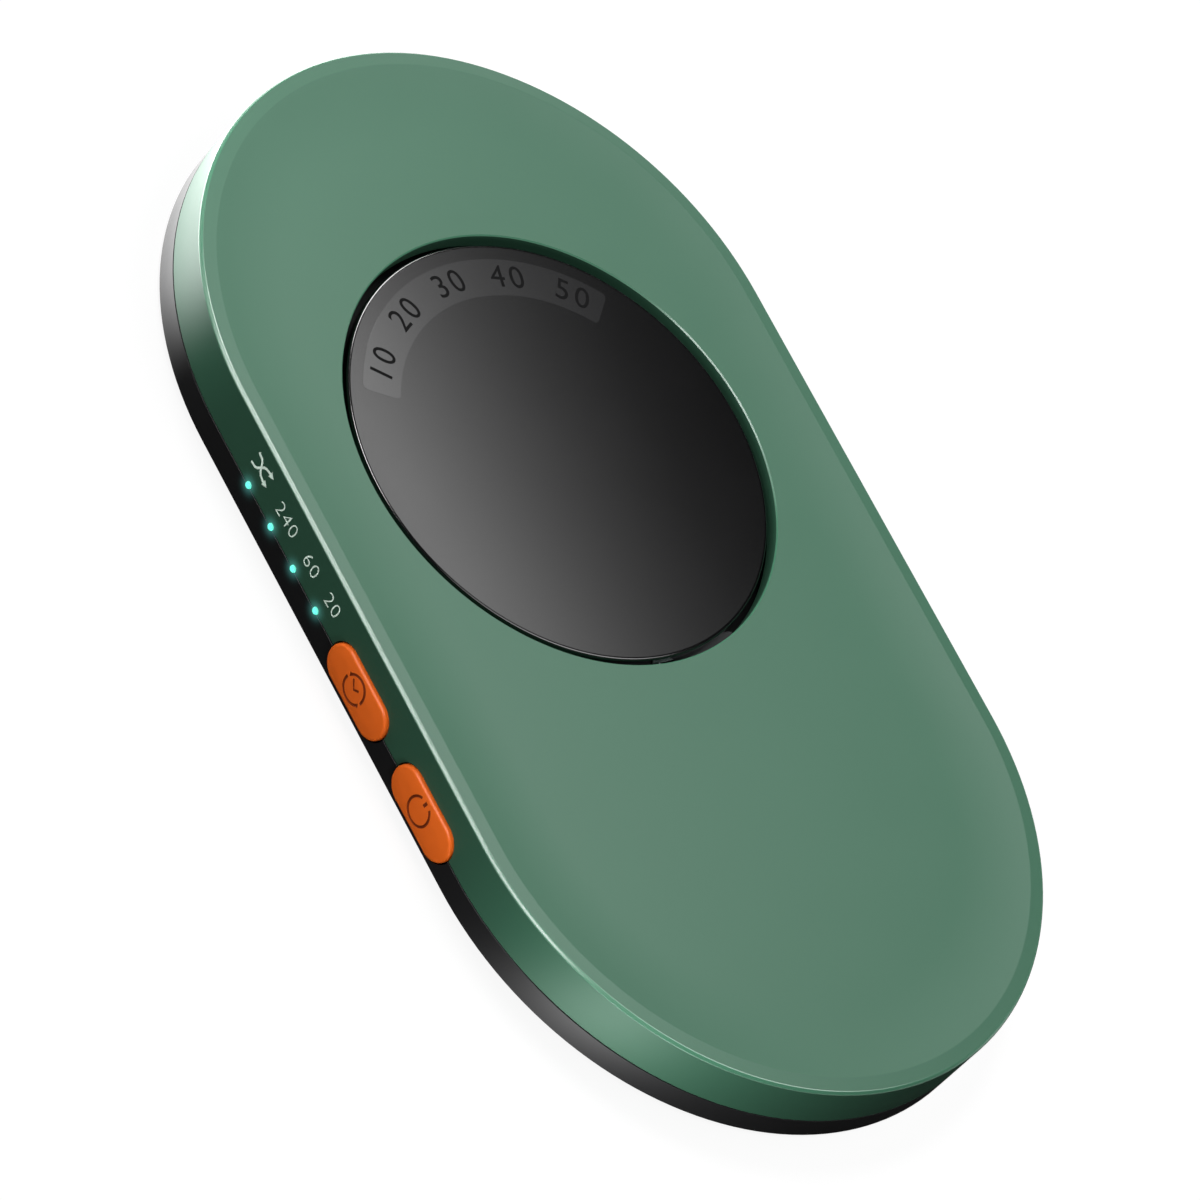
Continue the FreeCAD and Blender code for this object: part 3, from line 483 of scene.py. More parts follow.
lacquer = {"Coat_Weight": 1.0, "Coat_Roughness": 0.09}
finishes = {
    # screen colour, roughness and its spread, blotches, then the grain's size and height in millimetres
    "shell_green": lampLit(makeFinish("satinGreen", (64, 110, 87), 0.42, 0.03, 0.015, 0.16, 0.0015, IOR=1.5)),
    "base_black": lampLit(makeFinish("baseBlack", (38, 38, 39), 0.32, 0.03, 0.03, 0.25, 0.002, IOR=1.55)),
    "table_black": makeFinish("tableBlack", (11, 11, 12), 0.13, 0.02, 0.02, 0.4, 0.0003, IOR=1.8, **lacquer),
    "tape_white": makeFinish("tapeWhite", (222, 218, 205), 0.7, 0.05, 0.03, 0.3, 0.01),
    "carrier_black": makeFinish("carrierBlack", (34, 34, 36), 0.5, 0.04, 0.03, 0.2, 0.004),
    "gear_acetal": makeFinish(
        "gearAcetal", (46, 47, 50), 0.42, 0.04, 0.02, 0.25, 0.003, Subsurface_Weight=0.1
    ),
    "bush_brass": makeMetal("bushBrass", (196, 158, 84), 0.26, 0.05, 0.04, 0.1, 0.001),
    "pin_steel": makeMetal("pinSteel", (176, 178, 182), 0.2, 0.04, 0.03, 0.1, 0.001),
    "screw_steel": makeMetal("screwSteel", (120, 122, 126), 0.3, 0.05, 0.05, 0.1, 0.001),
    "can_steel": makeMetal("canSteel", (168, 170, 172), 0.3, 0.05, 0.03, 0.2, 0.001, marks=0.3),
    "coil_copper": makeMetal(
        "coilCopper", (190, 104, 60), 0.3, 0.05, 0.06, 0.12, 0.006, marks=0.1, depth=0.01
    ),
    "magnet_ferrite": makeFinish("magnetFerrite", (46, 46, 48), 0.6, 0.06, 0.06, 0.15, 0.006),
    "socket_white": makeFinish("socketWhite", (226, 222, 208), 0.45, 0.04, 0.02, 0.2, 0.003),
    "button_orange": makeFinish("buttonOrange", (224, 100, 28), 0.42, 0.03, 0.02, 0.16, 0.002, IOR=1.5),
    "switch_black": makeFinish("switchBlack", (30, 30, 31), 0.45, 0.04, 0.03, 0.2, 0.003),
    "lamp_white": makeFinish("lampWhite", (228, 232, 226), 0.3, 0.03, 0.02, 0.2, 0.001),
    "board_green": makeFinish("boardGreen", (22, 74, 48), 0.28, 0.04, 0.08, 0.5, 0.004, Coat_Weight=0.4),
    "chip_black": makeFinish("chipBlack", (32, 32, 34), 0.55, 0.05, 0.04, 0.1, 0.004),
    "capacitor_can": makeFinish("capacitorCan", (52, 58, 74), 0.35, 0.04, 0.04, 0.2, 0.002, Metallic=0.4),
    "inlet_steel": makeMetal(
        "inletSteel", (186, 188, 190), 0.22, 0.04, 0.02, 0.1, 0.001, marks=0.2, depth=0.001
    ),
    "foot_rubber": makeFinish("footRubber", (30, 30, 31), 0.75, 0.05, 0.06, 0.3, 0.012),
}
# a lighter copy of the shell green with a strong gloss: a painted highlight for the edges that catch the
# light
polishedEdge = makeFinish("polishedEdge", (84, 146, 115), 0.26, 0.02, 0.015, 0.16, 0.0002, IOR=2.9)
grooveOrange = makeFinish("grooveOrange", (120, 44, 8), 0.6, 0.03, 0.03, 0.2, 0.002)
printMint = makeFinish("printMint", (222, 243, 229), 0.5, 0.03, 0.02, 0.3, 0.001)
bandGrey = makeFinish("bandGrey", (36, 36, 37), 0.13, 0.02, 0.02, 0.4, 0.0003, IOR=2.0, **lacquer)
inkBlack = makeFinish("inkBlack", (8, 8, 9), 0.6, 0.02, 0.02, 0.4, 0.0003, IOR=1.2)
contactGold = makeFinish("contactGold", (214, 176, 96), 0.25, 0.03, 0.03, 0.1, 0.0005, Metallic=1.0)


def makeLeads():
    # red coat with a slow darker band
    material = makeFinish("leadCoat", (150, 24, 20), 0.42, 0.03, 0.04, 0.2, 0.002)
    tree = material.node_tree
    step = tree.nodes.new("ShaderNodeValToRGB")
    stops = ((0.5, (140, 22, 18)), (0.56, (120, 18, 16)))
    for element, (at, colour) in zip(step.color_ramp.elements, stops):
        element.position = at
        element.color = shade(colour)
    feed(tree, step.inputs["Fac"], makeNoise(tree, objectSpot(tree)[0], 60, 2))
    surface = [node for node in tree.nodes if node.type == "GROUP"][0]
    feed(tree, surface.inputs["Colour"], step.outputs["Color"])
    return material


def makeGuide():
    # clear plastic, lit teal where the rods come out of the wall
    material = makeFinish(
        "guideClear", (214, 240, 234), 0.18, 0.02, 0.02, 0.3, 0.001, IOR=1.5, Transmission_Weight=0.7
    )
    return lampLit(material, shade(lamp["teal"]), lamp["tealReach"])


finishes["lead_red_black"] = makeLeads()
finishes["guide_clear"] = makeGuide()

for node in frame["nodes"].values():
    for spot in node.material_slots:
        if spot.material and spot.material.name in finishes:
            spot.material = finishes[spot.material.name]
print("finishes made")


case = {
    "endRadius": 40.0, "endOffset": 29.5, "seamHeight": 3.85, "seamGroove": 0.15,
    "wallTop": 9.96, "edgeChamfer": 0.34, "ceiling": 8.3,
    "rimTop": 10.45, "rimBand": 2.0, "deckHeight": 9.9, "dishRun": 9.0, "dishSteps": 14,
    "underside": 0.6, "floorTop": 2.0, "baseChamfer": 0.1,
    "lipOut": 38.3, "lipIn": 37.5, "lipTop": 5.05, "cornerRadius": 0.1, "edgeSoft": 0.12,
}
well = {
    "y": 15.3, "radius": 28.7, "chamfer": 0.55, "chamferFrom": 9.75,
    "skirtRadius": 29.9, "skirtFrom": 7.7, "skirtTo": 8.7,
}
key = {
    "ys": {"interval": -5.8, "power": -21.6}, "z": 4.0, "length": 12.0, "height": 5.2, "gap": 0.22,
    "holeTo": -36.9, "holeDeep": 5, "face": -40.6, "round": 0.4, "intoEars": 0.3,
    "crown": ((0.55, 0.065), (0.55, 0.04), (0.5, 0.015)),  # steps inwards, each with its rise
    "earZ": 5.05, "earFrom": -38.3, "earTo": -37.5, "earLength": 14.6, "earHeight": 4.0,
    "nubRadius": 1.6, "nubTo": -37.1, "nubLength": 0.6,
}
inlet = {
    "z": 4.98, "mouth": 69.1, "length": 7.35, "width": 8.94, "height": 3.16, "wall": 0.3, "sides": 34,
    "gap": 0.22, "holeFrom": 66.5, "holeDeep": 10, "edgeRound": 0.05,
    "tongueWidth": 6.6, "tongueThick": 0.7, "tongueLength": 4.6, "tongueRound": 0.15, "backThick": 0.6,
    "contacts": 12, "contactPitch": 0.5, "contactHalf": 0.12, "contactProud": 0.02,
    "contactFrom": 2.2, "contactShort": 0.5, "contactRound": 0.015,
}
caseScrews = {
    "radius": 33.6, "angle": 46.8, "boss": 2.75, "bossFrom": 4.0, "hole": 1.0, "holeTo": 7.6, "post": 3.4,
    "footSocket": 5.1, "footSeat": 1.0, "head": 2.1, "headSeat": 2.2, "shaft": 1.2,
}
screwX = caseScrews["radius"] * math.cos(math.radians(caseScrews["angle"]))
screwY = case["endOffset"] + caseScrews["radius"] * math.sin(math.radians(caseScrews["angle"]))
screwSpots = [(side * screwX, end * screwY) for end in (1, -1) for side in (-1, 1)]


def wallCutters():
    # keys, lamps and the power inlet all straddle the seam, so both halves get the same cuts
    tools = []
    gap = 2 * key["gap"]
    for y in key["ys"].values():
        hole = longDisc("keyHole", key["length"] + gap, key["height"] + gap, key["holeDeep"])
        tools.append(place(hole, key["holeTo"], y, key["z"]))
    for y in lampYs:
        rod = cylinder("lampHole", 0, 0, lamp["radius"] + lamp["gap"], 0, lamp["holeDeep"], 24)
        tools.append(turnTo(rod, (0, -90, 0), (lamp["holeFrom"], y, lamp["z"])))
    n, gap = inlet, 2 * inlet["gap"]
    hole = longDisc("inletHole", n["width"] + gap, n["height"] + gap, n["holeDeep"], n["sides"])
    tools.append(turnTo(hole, (0, 0, -90), (0, n["holeFrom"], n["z"])))
    return joined(*tools)


shellInside = {
    # bosses and ribs reach a little into the deck, "top"
    "skirt": 38.4, "top": 8.6, "ribFrom": 6.9, "ribHalf": 0.5, "ribBack": 6, "ribAhead": 9,
}


def makeTopShell():
    c, n = case, shellInside
    outer = c["endRadius"]
    rimRadius = outer - c["rimBand"]
    flatRadius = rimRadius - c["dishRun"]
    depth = c["rimTop"] - c["deckHeight"]
    bend = (c["dishRun"] ** 2 + depth ** 2) / (2 * depth)
    outside = [
        (n["skirt"], c["ceiling"]), (n["skirt"], c["seamHeight"]), (outer - c["seamGroove"], c["seamHeight"]),
        (outer, c["seamHeight"] + c["seamGroove"]), (outer, c["wallTop"], c["edgeSoft"]),
        (outer - c["edgeChamfer"], c["wallTop"] + c["edgeChamfer"], c["edgeSoft"]), (rimRadius, c["rimTop"]),
    ]
    dish = []
    for i in range(1, c["dishSteps"] + 1):
        run = c["dishRun"] * (1 - i / c["dishSteps"])
        dish.append((flatRadius + run, c["deckHeight"] + bend - math.sqrt(bend ** 2 - run ** 2)))
    section = softCorners([(0, c["ceiling"])] + outside + dish[:1], c["cornerRadius"])[:-1]
    shell = carried("topShell", section + dish + [(0, c["deckHeight"])], c["endOffset"])
    # screw bosses, the ring that hangs round the well and the ribs under the palm end
    q = caseScrews
    bosses = [cylinder("boss", x, y, q["boss"], q["bossFrom"], n["top"], 32) for x, y in screwSpots]
    carve(shell, joined(*bosses), "UNION")
    skirt = cylinder("skirt", 0, well["y"], well["skirtRadius"], well["skirtFrom"], well["skirtTo"], 128)
    carve(shell, skirt, "UNION")
    half, low, ribY = n["ribHalf"], n["ribFrom"], -screwY
    long = block("longRib", (-screwX, ribY - half, low), (screwX, ribY + half, n["top"]))
    carve(shell, long, "UNION")
    ribs = [
        block("rib", (x - half, ribY - n["ribBack"], low), (x + half, ribY + n["ribAhead"], n["top"]))
        for x in (-screwX / 2, 0, screwX / 2)
    ]
    carve(shell, joined(*ribs), "UNION")
    r, lip, below, above = well["radius"], well["chamferFrom"], 2, 12
    wide = r + well["chamfer"]
    mouth = turned("wellCut", [
        (0, below), (r, below), (r, lip), (wide, lip + well["chamfer"]), (wide, above), (0, above),
    ], 192)
    holes = [cylinder("screwHole", x, y, q["hole"], 1, q["holeTo"], 24) for x, y in screwSpots]
    carve(shell, joined(place(mouth, y=well["y"]), wallCutters(), *holes))
    smooth(shell)
    # the two narrow edges that catch the light get a lighter green, a painted highlight, and a stronger gloss
    dress(shell, finishes["shell_green"], polishedEdge)
    for face in shell.data.polygons:
        leant = 0.3 < face.normal.z < 0.93
        face.material_index = 1 if leant and face.center.z > n["top"] else 0
    return settle(shell, "case", None, "shell_green", "top_shell")


trayInside = {
    # posts and ribs start a little inside the floor, "from"
    "from": 1.6, "rimGap": 0.05, "cornerRadius": 0.02, "motorX": 13.5, "motorY": -28.2,
    "boardPosts": ((-31.9, 13.11), (-31.9, -30.6), (-19.9, -17.6), (-5.6, 55.4), (5.6, 55.4)),
    "postRadius": 2.4, "motorPostTop": 5.1, "boardPostTop": 2.4,
    "spindlePost": 3.5, "spindleTop": 3.8, "spindleBore": 1.5,
    "idlerY": -12.2, "idlerPost": 2.2, "idlerTop": 4.05, "idlerBore": 0.75, "boreFrom": 1.0, "boreTo": 4.5,
    "ribReach": 12, "ribHalf": 0.5, "ribTop": 3.0,
    "pocketFrom": -38.4, "pocketTo": -36.9, "pocketHalf": 7.8, "pocketTop": 5.3,
}


def makeBaseTray():
    c, n, q = case, trayInside, caseScrews
    outer, low, seam, gap = c["endRadius"], c["underside"], c["seamHeight"], n["rimGap"]
    section = softCorners([
        (0, low), (outer - c["baseChamfer"], low), (outer, low + c["baseChamfer"]), (outer, seam - gap),
        (outer - gap, seam), (c["lipOut"], seam), (c["lipOut"], c["lipTop"]), (c["lipIn"], c["lipTop"]),
        (c["lipIn"], c["floorTop"]), (0, c["floorTop"]),
    ], n["cornerRadius"])
    tray = carried("baseTray", section, c["endOffset"])
    posts = [(x, y, q["post"], seam, 32) for x, y in screwSpots]
    posts += [(x, n["motorY"], n["postRadius"], n["motorPostTop"], 32) for x in (-n["motorX"], n["motorX"])]
    posts += [(x, y, n["postRadius"], n["boardPostTop"], 32) for x, y in n["boardPosts"]]
    posts.append((0, well["y"], n["spindlePost"], n["spindleTop"], 48))
    posts.append((0, n["idlerY"], n["idlerPost"], n["idlerTop"], 32))
    posts = [cylinder("post", x, y, radius, n["from"], top, sides) for x, y, radius, top, sides in posts]
    carve(tray, joined(*posts), "UNION")
    reach, half = n["ribReach"], n["ribHalf"]
    for turn in (0, 60, 120):
        rib = block("rib", (-reach, -half, n["from"]), (reach, half, n["ribTop"]))
        carve(tray, place(rib, y=well["y"], turn=turn), "UNION")
    pockets = []
    for y in key["ys"].values():
        corner = (n["pocketFrom"], y - n["pocketHalf"], c["floorTop"])
        pockets.append(block("pocket", corner, (n["pocketTo"], y + n["pocketHalf"], n["pocketTop"])))
    carve(tray, joined(*pockets))
    steps = [
        (0, -1), (q["footSocket"], -1), (q["footSocket"], q["footSeat"]), (q["head"], q["footSeat"]),
        (q["head"], q["headSeat"]), (q["shaft"], q["headSeat"]), (q["shaft"], n["boreTo"]), (0, n["boreTo"]),
    ]
    drills = [place(turned("drill", steps, 48), x, y) for x, y in screwSpots]
    drills.append(cylinder("drill", 0, well["y"], n["spindleBore"], n["boreFrom"], n["boreTo"], 32))
    drills.append(cylinder("drill", 0, n["idlerY"], n["idlerBore"], n["boreFrom"], n["boreTo"], 24))
    carve(tray, joined(wallCutters(), *drills))
    return settle(smooth(tray), "case", finishes["base_black"], "base_black", "base_tray")


topShell = makeTopShell()
baseTray = makeBaseTray()
print("case made")


foot = {
    # a ring of tread between two shares of the radius
    "radius": 5.0, "height": 1.0, "round": 0.25,
    "treadFrom": 0.35, "treadTo": 0.7, "ridge": 0.45, "relief": 0.12,
}


def makeFeet():
    r, h, up = foot["radius"], foot["height"], foot["relief"]
    inner, outer = r * foot["treadFrom"], r * foot["treadTo"]
    pad = turned("rubberFoot", softCorners([
        (0, up), (inner, up), (inner, 0), (inner + foot["ridge"], 0), (inner + foot["ridge"], up),
        (outer, up), (outer, 0), (r, 0), (r, h), (0, h),
    ], foot["round"], 4), 64)
    smooth(pad)
    for i, (x, y) in enumerate(screwSpots):
        one = place(copyOf(pad, f"rubberFoot{i + 1}"), x, y)
        settle(one, "case", finishes["foot_rubber"], "foot_rubber", f"rubber_foot_{i + 1}")
    bpy.data.objects.remove(pad)


makeFeet()
print("feet made")


table = {
    "radius": 27.8, "low": 8.15, "high": 9.35, "round": 0.3, "inset": 0.15,
    "bandFrom": 20.9, "bandTo": 25.8, "bandStart": 44.0, "bandEnd": 151.0, "bandCorner": 0.8,
    "film": 0.012, "digitHeight": 3.1, "digitRadius": 22.05,
    "numbers": ("10", "20", "30", "40", "50"), "firstAngle": 140.5, "angleStep": -21.6,
}


def makePlate():
    plate = cylinder("turntablePlate", 0, well["y"], table["radius"], table["low"], table["high"], 192)
    edit(plate, "EDGE")
    pick("edges", lambda co: co.z > table["high"] - 0.01)
    bpy.ops.mesh.bevel(offset=table["round"], segments=7, affect="EDGES")
    pick("faces", lambda co, normal: abs(normal.z) > 0.99)
    bpy.ops.mesh.inset(thickness=table["inset"])
    leave()
    settle(smooth(plate), "turntable", finishes["table_black"], "table_black", "turntable_plate")


def makeBand():
    # a printed arc: an edge from the inner to the outer radius, spun and thickened, its corners rounded
    start, end, radii = table["bandStart"], table["bandEnd"], (table["bandFrom"], table["bandTo"])
    band = place(drawSection("printedBand", [(radius, 0) for radius in radii]), turn=start)
    edit(band, "VERT")
    selectAll()
    spin(72, start - end)
    leave()
    weld(band)
    edit(band, "VERT")
    corners = []
    for angle in (math.radians(start), math.radians(end)):
        corners += [Vector((math.cos(angle), math.sin(angle), 0)) * radius for radius in radii]
    pick("verts", lambda co: min((co - corner).length for corner in corners) < 0.05)
    bpy.ops.mesh.bevel(offset=table["bandCorner"], segments=5, affect="VERTICES")
    selectAll()
    extrude((0, 0, table["film"]))
    leave()
    weld(band)
    place(band, 0, well["y"], table["high"])
    settle(band, "turntable", bandGrey, "table_black")


def makeText(name, words, height, spacing=1.0, thinner=0.0):
    clearSelection()
    bpy.ops.object.text_add()
    text = bpy.context.object
    text.data.body = words
    text.data.size = height / 0.73  # the built-in font's capitals are 0.73 of its size
    text.data.space_character = spacing
    text.data.align_x = "CENTER"
    text.data.extrude = table["film"] / 2
    text.data.offset = thinner
    bpy.ops.object.convert(target="MESH")
    return named(name)


def makeDialNumbers():
    parts = []
    for i, words in enumerate(table["numbers"]):
        angle = table["firstAngle"] + i * table["angleStep"]
        piece = makeText("dialNumber", words, table["digitHeight"], 1.25)
        place(piece, y=table["digitRadius"])
        parts.append(place(piece, turn=angle - 90))
    numbers = joined(*parts)
    place(numbers, 0, well["y"], table["high"] + table["film"] * 1.5)
    named("dialNumbers")
    settle(numbers, "turntable", inkBlack, "table_black")


makePlate()
makeBand()
makeDialNumbers()
print("turntable made")


icon = {"radius": 1.75, "line": 0.34, "depth": 0.16, "lift": 0.18, "shift": 0.29, "head": 0.36}


def arcTools(radius, line, arcs, depth):
    # flat arcs, each from one angle to another, deep enough to cut with
    tools = []
    for start, end in arcs:
        arc = place(drawSection("mark", [(radius - line / 2, 0), (radius + line / 2, 0)]), turn=start)
        edit(arc, "VERT")
        selectAll()
        spin(28, start - end)
        selectAll()
        extrude((0, 0, depth))
        leave()
        tools.append(weld(arc))
    return tools


def headTool(angle, turn, depth):
    # a small arrowhead on the ring
    r, at = icon["radius"], math.radians(angle)
    head = cylinder("mark", 0, 0, icon["head"], 0, depth, 3)
    return place(head, r * math.cos(at), r * math.sin(at), 0, turn)


def powerMark():
    # a ring with a gap at its top and a bar in the gap
    r, w, d = icon["radius"], icon["line"], icon["depth"] * 2
    bar = barBetween("mark", (0, r * 0.62), (0, r * 1.02), w * 1.2, 0, d)
    return arcTools(r, w, [(118, 422)], d) + [bar]


def clockMark():
    # two arcs that chase each other round a pair of hands
    r, w, d = icon["radius"], icon["line"], icon["depth"] * 2
    return arcTools(r, w, [(-8, 150), (172, 330)], d) + [
        headTool(152, 60, d), headTool(332, 240, d),
        barBetween("mark", (0.04, -0.04), (-0.95, 0.87), w * 0.7, 0, d),
        barBetween("mark", (-0.06, -0.06), (0.62, 0.55), w * 0.8, 0, d),
    ]


def makeKey(name, y, marks, body, node):
    k = key
    rim = k["face"] + sum(rise for step, rise in k["crown"])
    back = k["earFrom"] + k["intoEars"]
    cap = longDisc(name, k["length"], k["height"], back - rim)
    place(cap, back, y, k["z"])
    edit(cap, "EDGE")
    pick("edges", lambda co: co.x < rim + 0.01)
    bpy.ops.mesh.bevel(offset=k["round"], segments=6, affect="EDGES")
    # the face swells a little towards its middle
    pick("faces", lambda co, normal: normal.x < -0.999)
    for step, rise in k["crown"]:
        bpy.ops.mesh.inset(thickness=step, depth=rise)
    leave()
    long, high = k["earLength"] / 2, k["earHeight"] / 2
    ears = block("ears", (k["earFrom"], y - long, k["earZ"] - high), (k["earTo"], y + long, k["earZ"] + high))
    carve(cap, ears, "UNION")
    nub = cylinder("nub", 0, 0, k["nubRadius"], 0, k["nubLength"], 32)
    carve(cap, turnTo(nub, (0, 90, 0), (k["nubTo"] - k["nubLength"], y, k["earZ"])), "UNION")
    # the mark is cut into the face and coloured by its cutter
    dress(cap, finishes["button_orange"], grooveOrange)
    for tool in marks():
        ontoLeftWall(tool, k["face"] + icon["depth"], y + icon["shift"], k["z"] + icon["lift"])
        dress(weld(tool), finishes["button_orange"], grooveOrange)
        for face in tool.data.polygons:
            face.material_index = 1
        carve(cap, tool)
    settle(smooth(cap), body, None, "button_orange", node)


makeKey("intervalKey", key["ys"]["interval"], clockMark, "interval_key", "interval_button")
makeKey("powerKey", key["ys"]["power"], powerMark, "power_key", "power_button")
print("keys made")


guide = {
    "barFrom": -37.4, "barTo": -36.4, "barHeight": 1.1, "barPast": 0.8, "barRound": 0.1,
    "rodLength": 3.2, "dome": 0.42,
}


def makeGuides():
    # one domed rod, turned to lie along X and copied to each lamp, on a bar that joins them
    g, r, far = guide, lamp["radius"], guide["rodLength"]
    rod = turned("rod", softCorners([(0, 0), (r, 0, g["dome"]), (r, far), (0, far)], 0.05, 6), 24)
    turnTo(rod, (0, 90, 0))
    rods = [place(copyOf(rod, "rod"), lamp["tip"], y, lamp["z"]) for y in lampYs]
    bpy.data.objects.remove(rod)
    low = (g["barFrom"], lampYs[0] - g["barPast"], lamp["z"] - g["barHeight"] / 2)
    bar = block("lightGuide", low, (g["barTo"], lampYs[-1] + g["barPast"], lamp["z"] + g["barHeight"] / 2))
    edit(bar, "EDGE")
    selectAll()
    bpy.ops.mesh.bevel(offset=g["barRound"], segments=2, affect="EDGES")
    leave()
    carve(bar, joined(*rods), "UNION")
    settle(smooth(bar, 40), "case", finishes["guide_clear"], "guide_clear", "light_guide")


wallPrint = {
    "height": 1.98, "low": 6.02, "film": 0.012, "thinner": -0.045,
    "labels": (("240", 15.0, 1.1), ("60", 8.95, 1.12), ("20", 3.75, 1.1)),  # words, y and spacing
    "arrowsY": 21.5, "arrowsZ": 7.25, "arrowsWidth": 3.2, "arrowsHeight": 2.5, "arrowLine": 0.3,
    # an arrow's middle line, in shares of the width and height, with three steps in its slope
    "arrowPath": ((-0.5, -0.36), (-0.28, -0.33), (0.12, 0.27), (0.34, 0.33)), "slopeSteps": (0.25, 0.5, 0.75),
    "headShare": 1.7, "headBack": 0.6, "overlap": 0.3,  # in shares of the line
}
wallFace = -case["endRadius"] - wallPrint["film"] / 2


def makeCrossedArrows():
    # two bars that cross, each with a head at its right end
    p = wallPrint
    w, h, line, thick = p["arrowsWidth"], p["arrowsHeight"], p["arrowLine"], p["film"] / 2
    parts = []
    for side in (1, -1):
        tail, lower, upper, end = [(w * across, side * h * up) for across, up in p["arrowPath"]]
        points = [tail, lower]
        for t in p["slopeSteps"]:
            ease = t * t * (3 - 2 * t)
            points.append((lower[0] + (upper[0] - lower[0]) * t, lower[1] + (upper[1] - lower[1]) * ease))
        points += [upper, end]
        for here, there in zip(points, points[1:]):
            parts.append(barBetween("arrowBar", here, there, line, -thick, thick, line * p["overlap"]))
        head = cylinder("arrowHead", 0, 0, line * p["headShare"], -thick, thick, 3)
        parts.append(place(head, w / 2 - line * p["headBack"], end[1], 0, -90))
    arrows = parts[0]
    for other in parts[1:]:
        carve(arrows, other, "UNION")
    choose(arrows)
    return named("wallArrows")


def makeWallPrint():
    for i, (words, y, spacing) in enumerate(wallPrint["labels"]):
        label = makeText(f"wallNumber{i + 1}", words, wallPrint["height"], spacing, wallPrint["thinner"])
        settle(ontoLeftWall(label, wallFace, y, wallPrint["low"]), "case", printMint, "shell_green")
    arrows = ontoLeftWall(makeCrossedArrows(), wallFace, wallPrint["arrowsY"], wallPrint["arrowsZ"])
    settle(arrows, "case", printMint, "shell_green")


makeGuides()
makeWallPrint()
print("lamps and prints made")


def makeInlet():
    n = inlet
    tube = longDisc("inletShell", n["width"], n["height"], n["length"], n["sides"])
    edit(tube)
    pick("faces", lambda co, normal: normal.x < -0.9)
    bpy.ops.mesh.inset(thickness=n["wall"])
    extrude((n["length"] - n["wall"], 0, 0))
    leave()
    turnTo(tube, (0, 0, -90), (0, n["mouth"] - n["length"], n["z"]))
    sharp = math.radians(50)
    useModifier(tube, "BEVEL", width=n["edgeRound"], segments=2, limit_method="ANGLE", angle_limit=sharp)
    settle(smooth(tube, 30), "case", finishes["inlet_steel"], "inlet_steel", "usb_shell")

    back = n["mouth"] - n["length"] + n["wall"]
    tip = back + n["backThick"] + n["tongueLength"]
    half, thick = n["tongueWidth"] / 2, n["tongueThick"] / 2
    tongue = block("inletTongue", (-half, back, n["z"] - thick), (half, tip, n["z"] + thick))
    edit(tongue)
    pick("faces", lambda co, normal: normal.y > 0.9)
    bpy.ops.mesh.bevel(offset=n["tongueRound"], segments=2, affect="EDGES")
    leave()
    inner = 2 * n["wall"]
    backWall = longDisc("backWall", n["width"] - inner, n["height"] - inner, n["backThick"], n["sides"])
    carve(tongue, turnTo(backWall, (0, 0, -90), (0, back, n["z"])), "UNION")
    settle(smooth(tongue, 30), "case", finishes["switch_black"], "switch_black", "usb_tongue")
    # contact strips, one modelled and copied
    half, top = n["contactHalf"], n["z"] + thick
    low = (-half, back + n["contactFrom"], top - n["contactProud"])
    strip = block("contact", low, (half, tip - n["contactShort"], top + n["contactProud"]))
    edit(strip, "EDGE")
    pick("edges", lambda co: co.z > top)
    bpy.ops.mesh.bevel(offset=n["contactRound"], segments=2, affect="EDGES")
    leave()
    strips = []
    for i in range(n["contacts"]):
        strips.append(place(copyOf(strip, "contact"), x=(i - (n["contacts"] - 1) / 2) * n["contactPitch"]))
    upper = joined(*strips)
    lower = copyOf(upper, "inletContacts")
    edit(lower)
    selectAll()
    bpy.ops.transform.mirror(constraint_axis=(False, False, True), center_override=(0, 0, n["z"]))
    bpy.ops.mesh.normals_make_consistent(inside=False)
    leave()
    bpy.data.objects.remove(strip)
    contacts = joined(lower, upper)
    settle(contacts, "case", contactGold, "inlet_steel")


makeInlet()
print("inlet made")


floorLook = {
    # how bright the floor looks to reflections: dim, with a painted pool of light by each end of the left
    # wall, and painted shade where the pools meet the case
    "dim": 0.015, "nearY": -47.6, "nearLean": 1.1, "nearWidth": 8, "nearBright": 2.2,
    "farFrom": 36, "farTo": 52, "farLean": -1.0, "farBright": 3.9, "poolFrom": 5, "poolTo": 30,
    "contact": 0.5, "clearTo": 48, "clearGain": 1.2, "beside": 90, "beyond": 140,
    "white": 0.92, "shadowShare": 0.16, "bounce": 0.1, "size": 8,
}


def makeRise(tree, value, low, high, top=1.0):
    rise = tree.nodes.new("ShaderNodeMapRange")
    rise.interpolation_type = "SMOOTHSTEP"
    rise.inputs["From Min"].default_value = low * mm
    rise.inputs["From Max"].default_value = high * mm
    rise.inputs["To Max"].default_value = top
    feed(tree, rise.inputs["Value"], value)
    return rise.outputs[0]


def makeGlow(tree, strength):
    glow = tree.nodes.new("ShaderNodeEmission")
    glow.inputs["Color"].default_value = (1, 1, 1, 1)
    feed(tree, glow.inputs["Strength"], strength)
    return glow.outputs[0]


def makeMatt(tree, amount):
    matt = tree.nodes.new("ShaderNodeBsdfDiffuse")
    matt.inputs["Color"].default_value = (amount,) * 3 + (1,)
    return matt.outputs[0]


def makeGlowing(name):
    # an emptied material that lights nothing by itself
    material = bpy.data.materials.new(name)
    material.use_nodes = True
    material.cycles.emission_sampling = "NONE"
    material.node_tree.nodes.clear()
    return material, material.node_tree


def mixed(tree, share, first, second):
    mix = tree.nodes.new("ShaderNodeMixShader")
    for socket, value in zip(mix.inputs, (share, first, second)):
        feed(tree, socket, value)
    return mix.outputs[0]


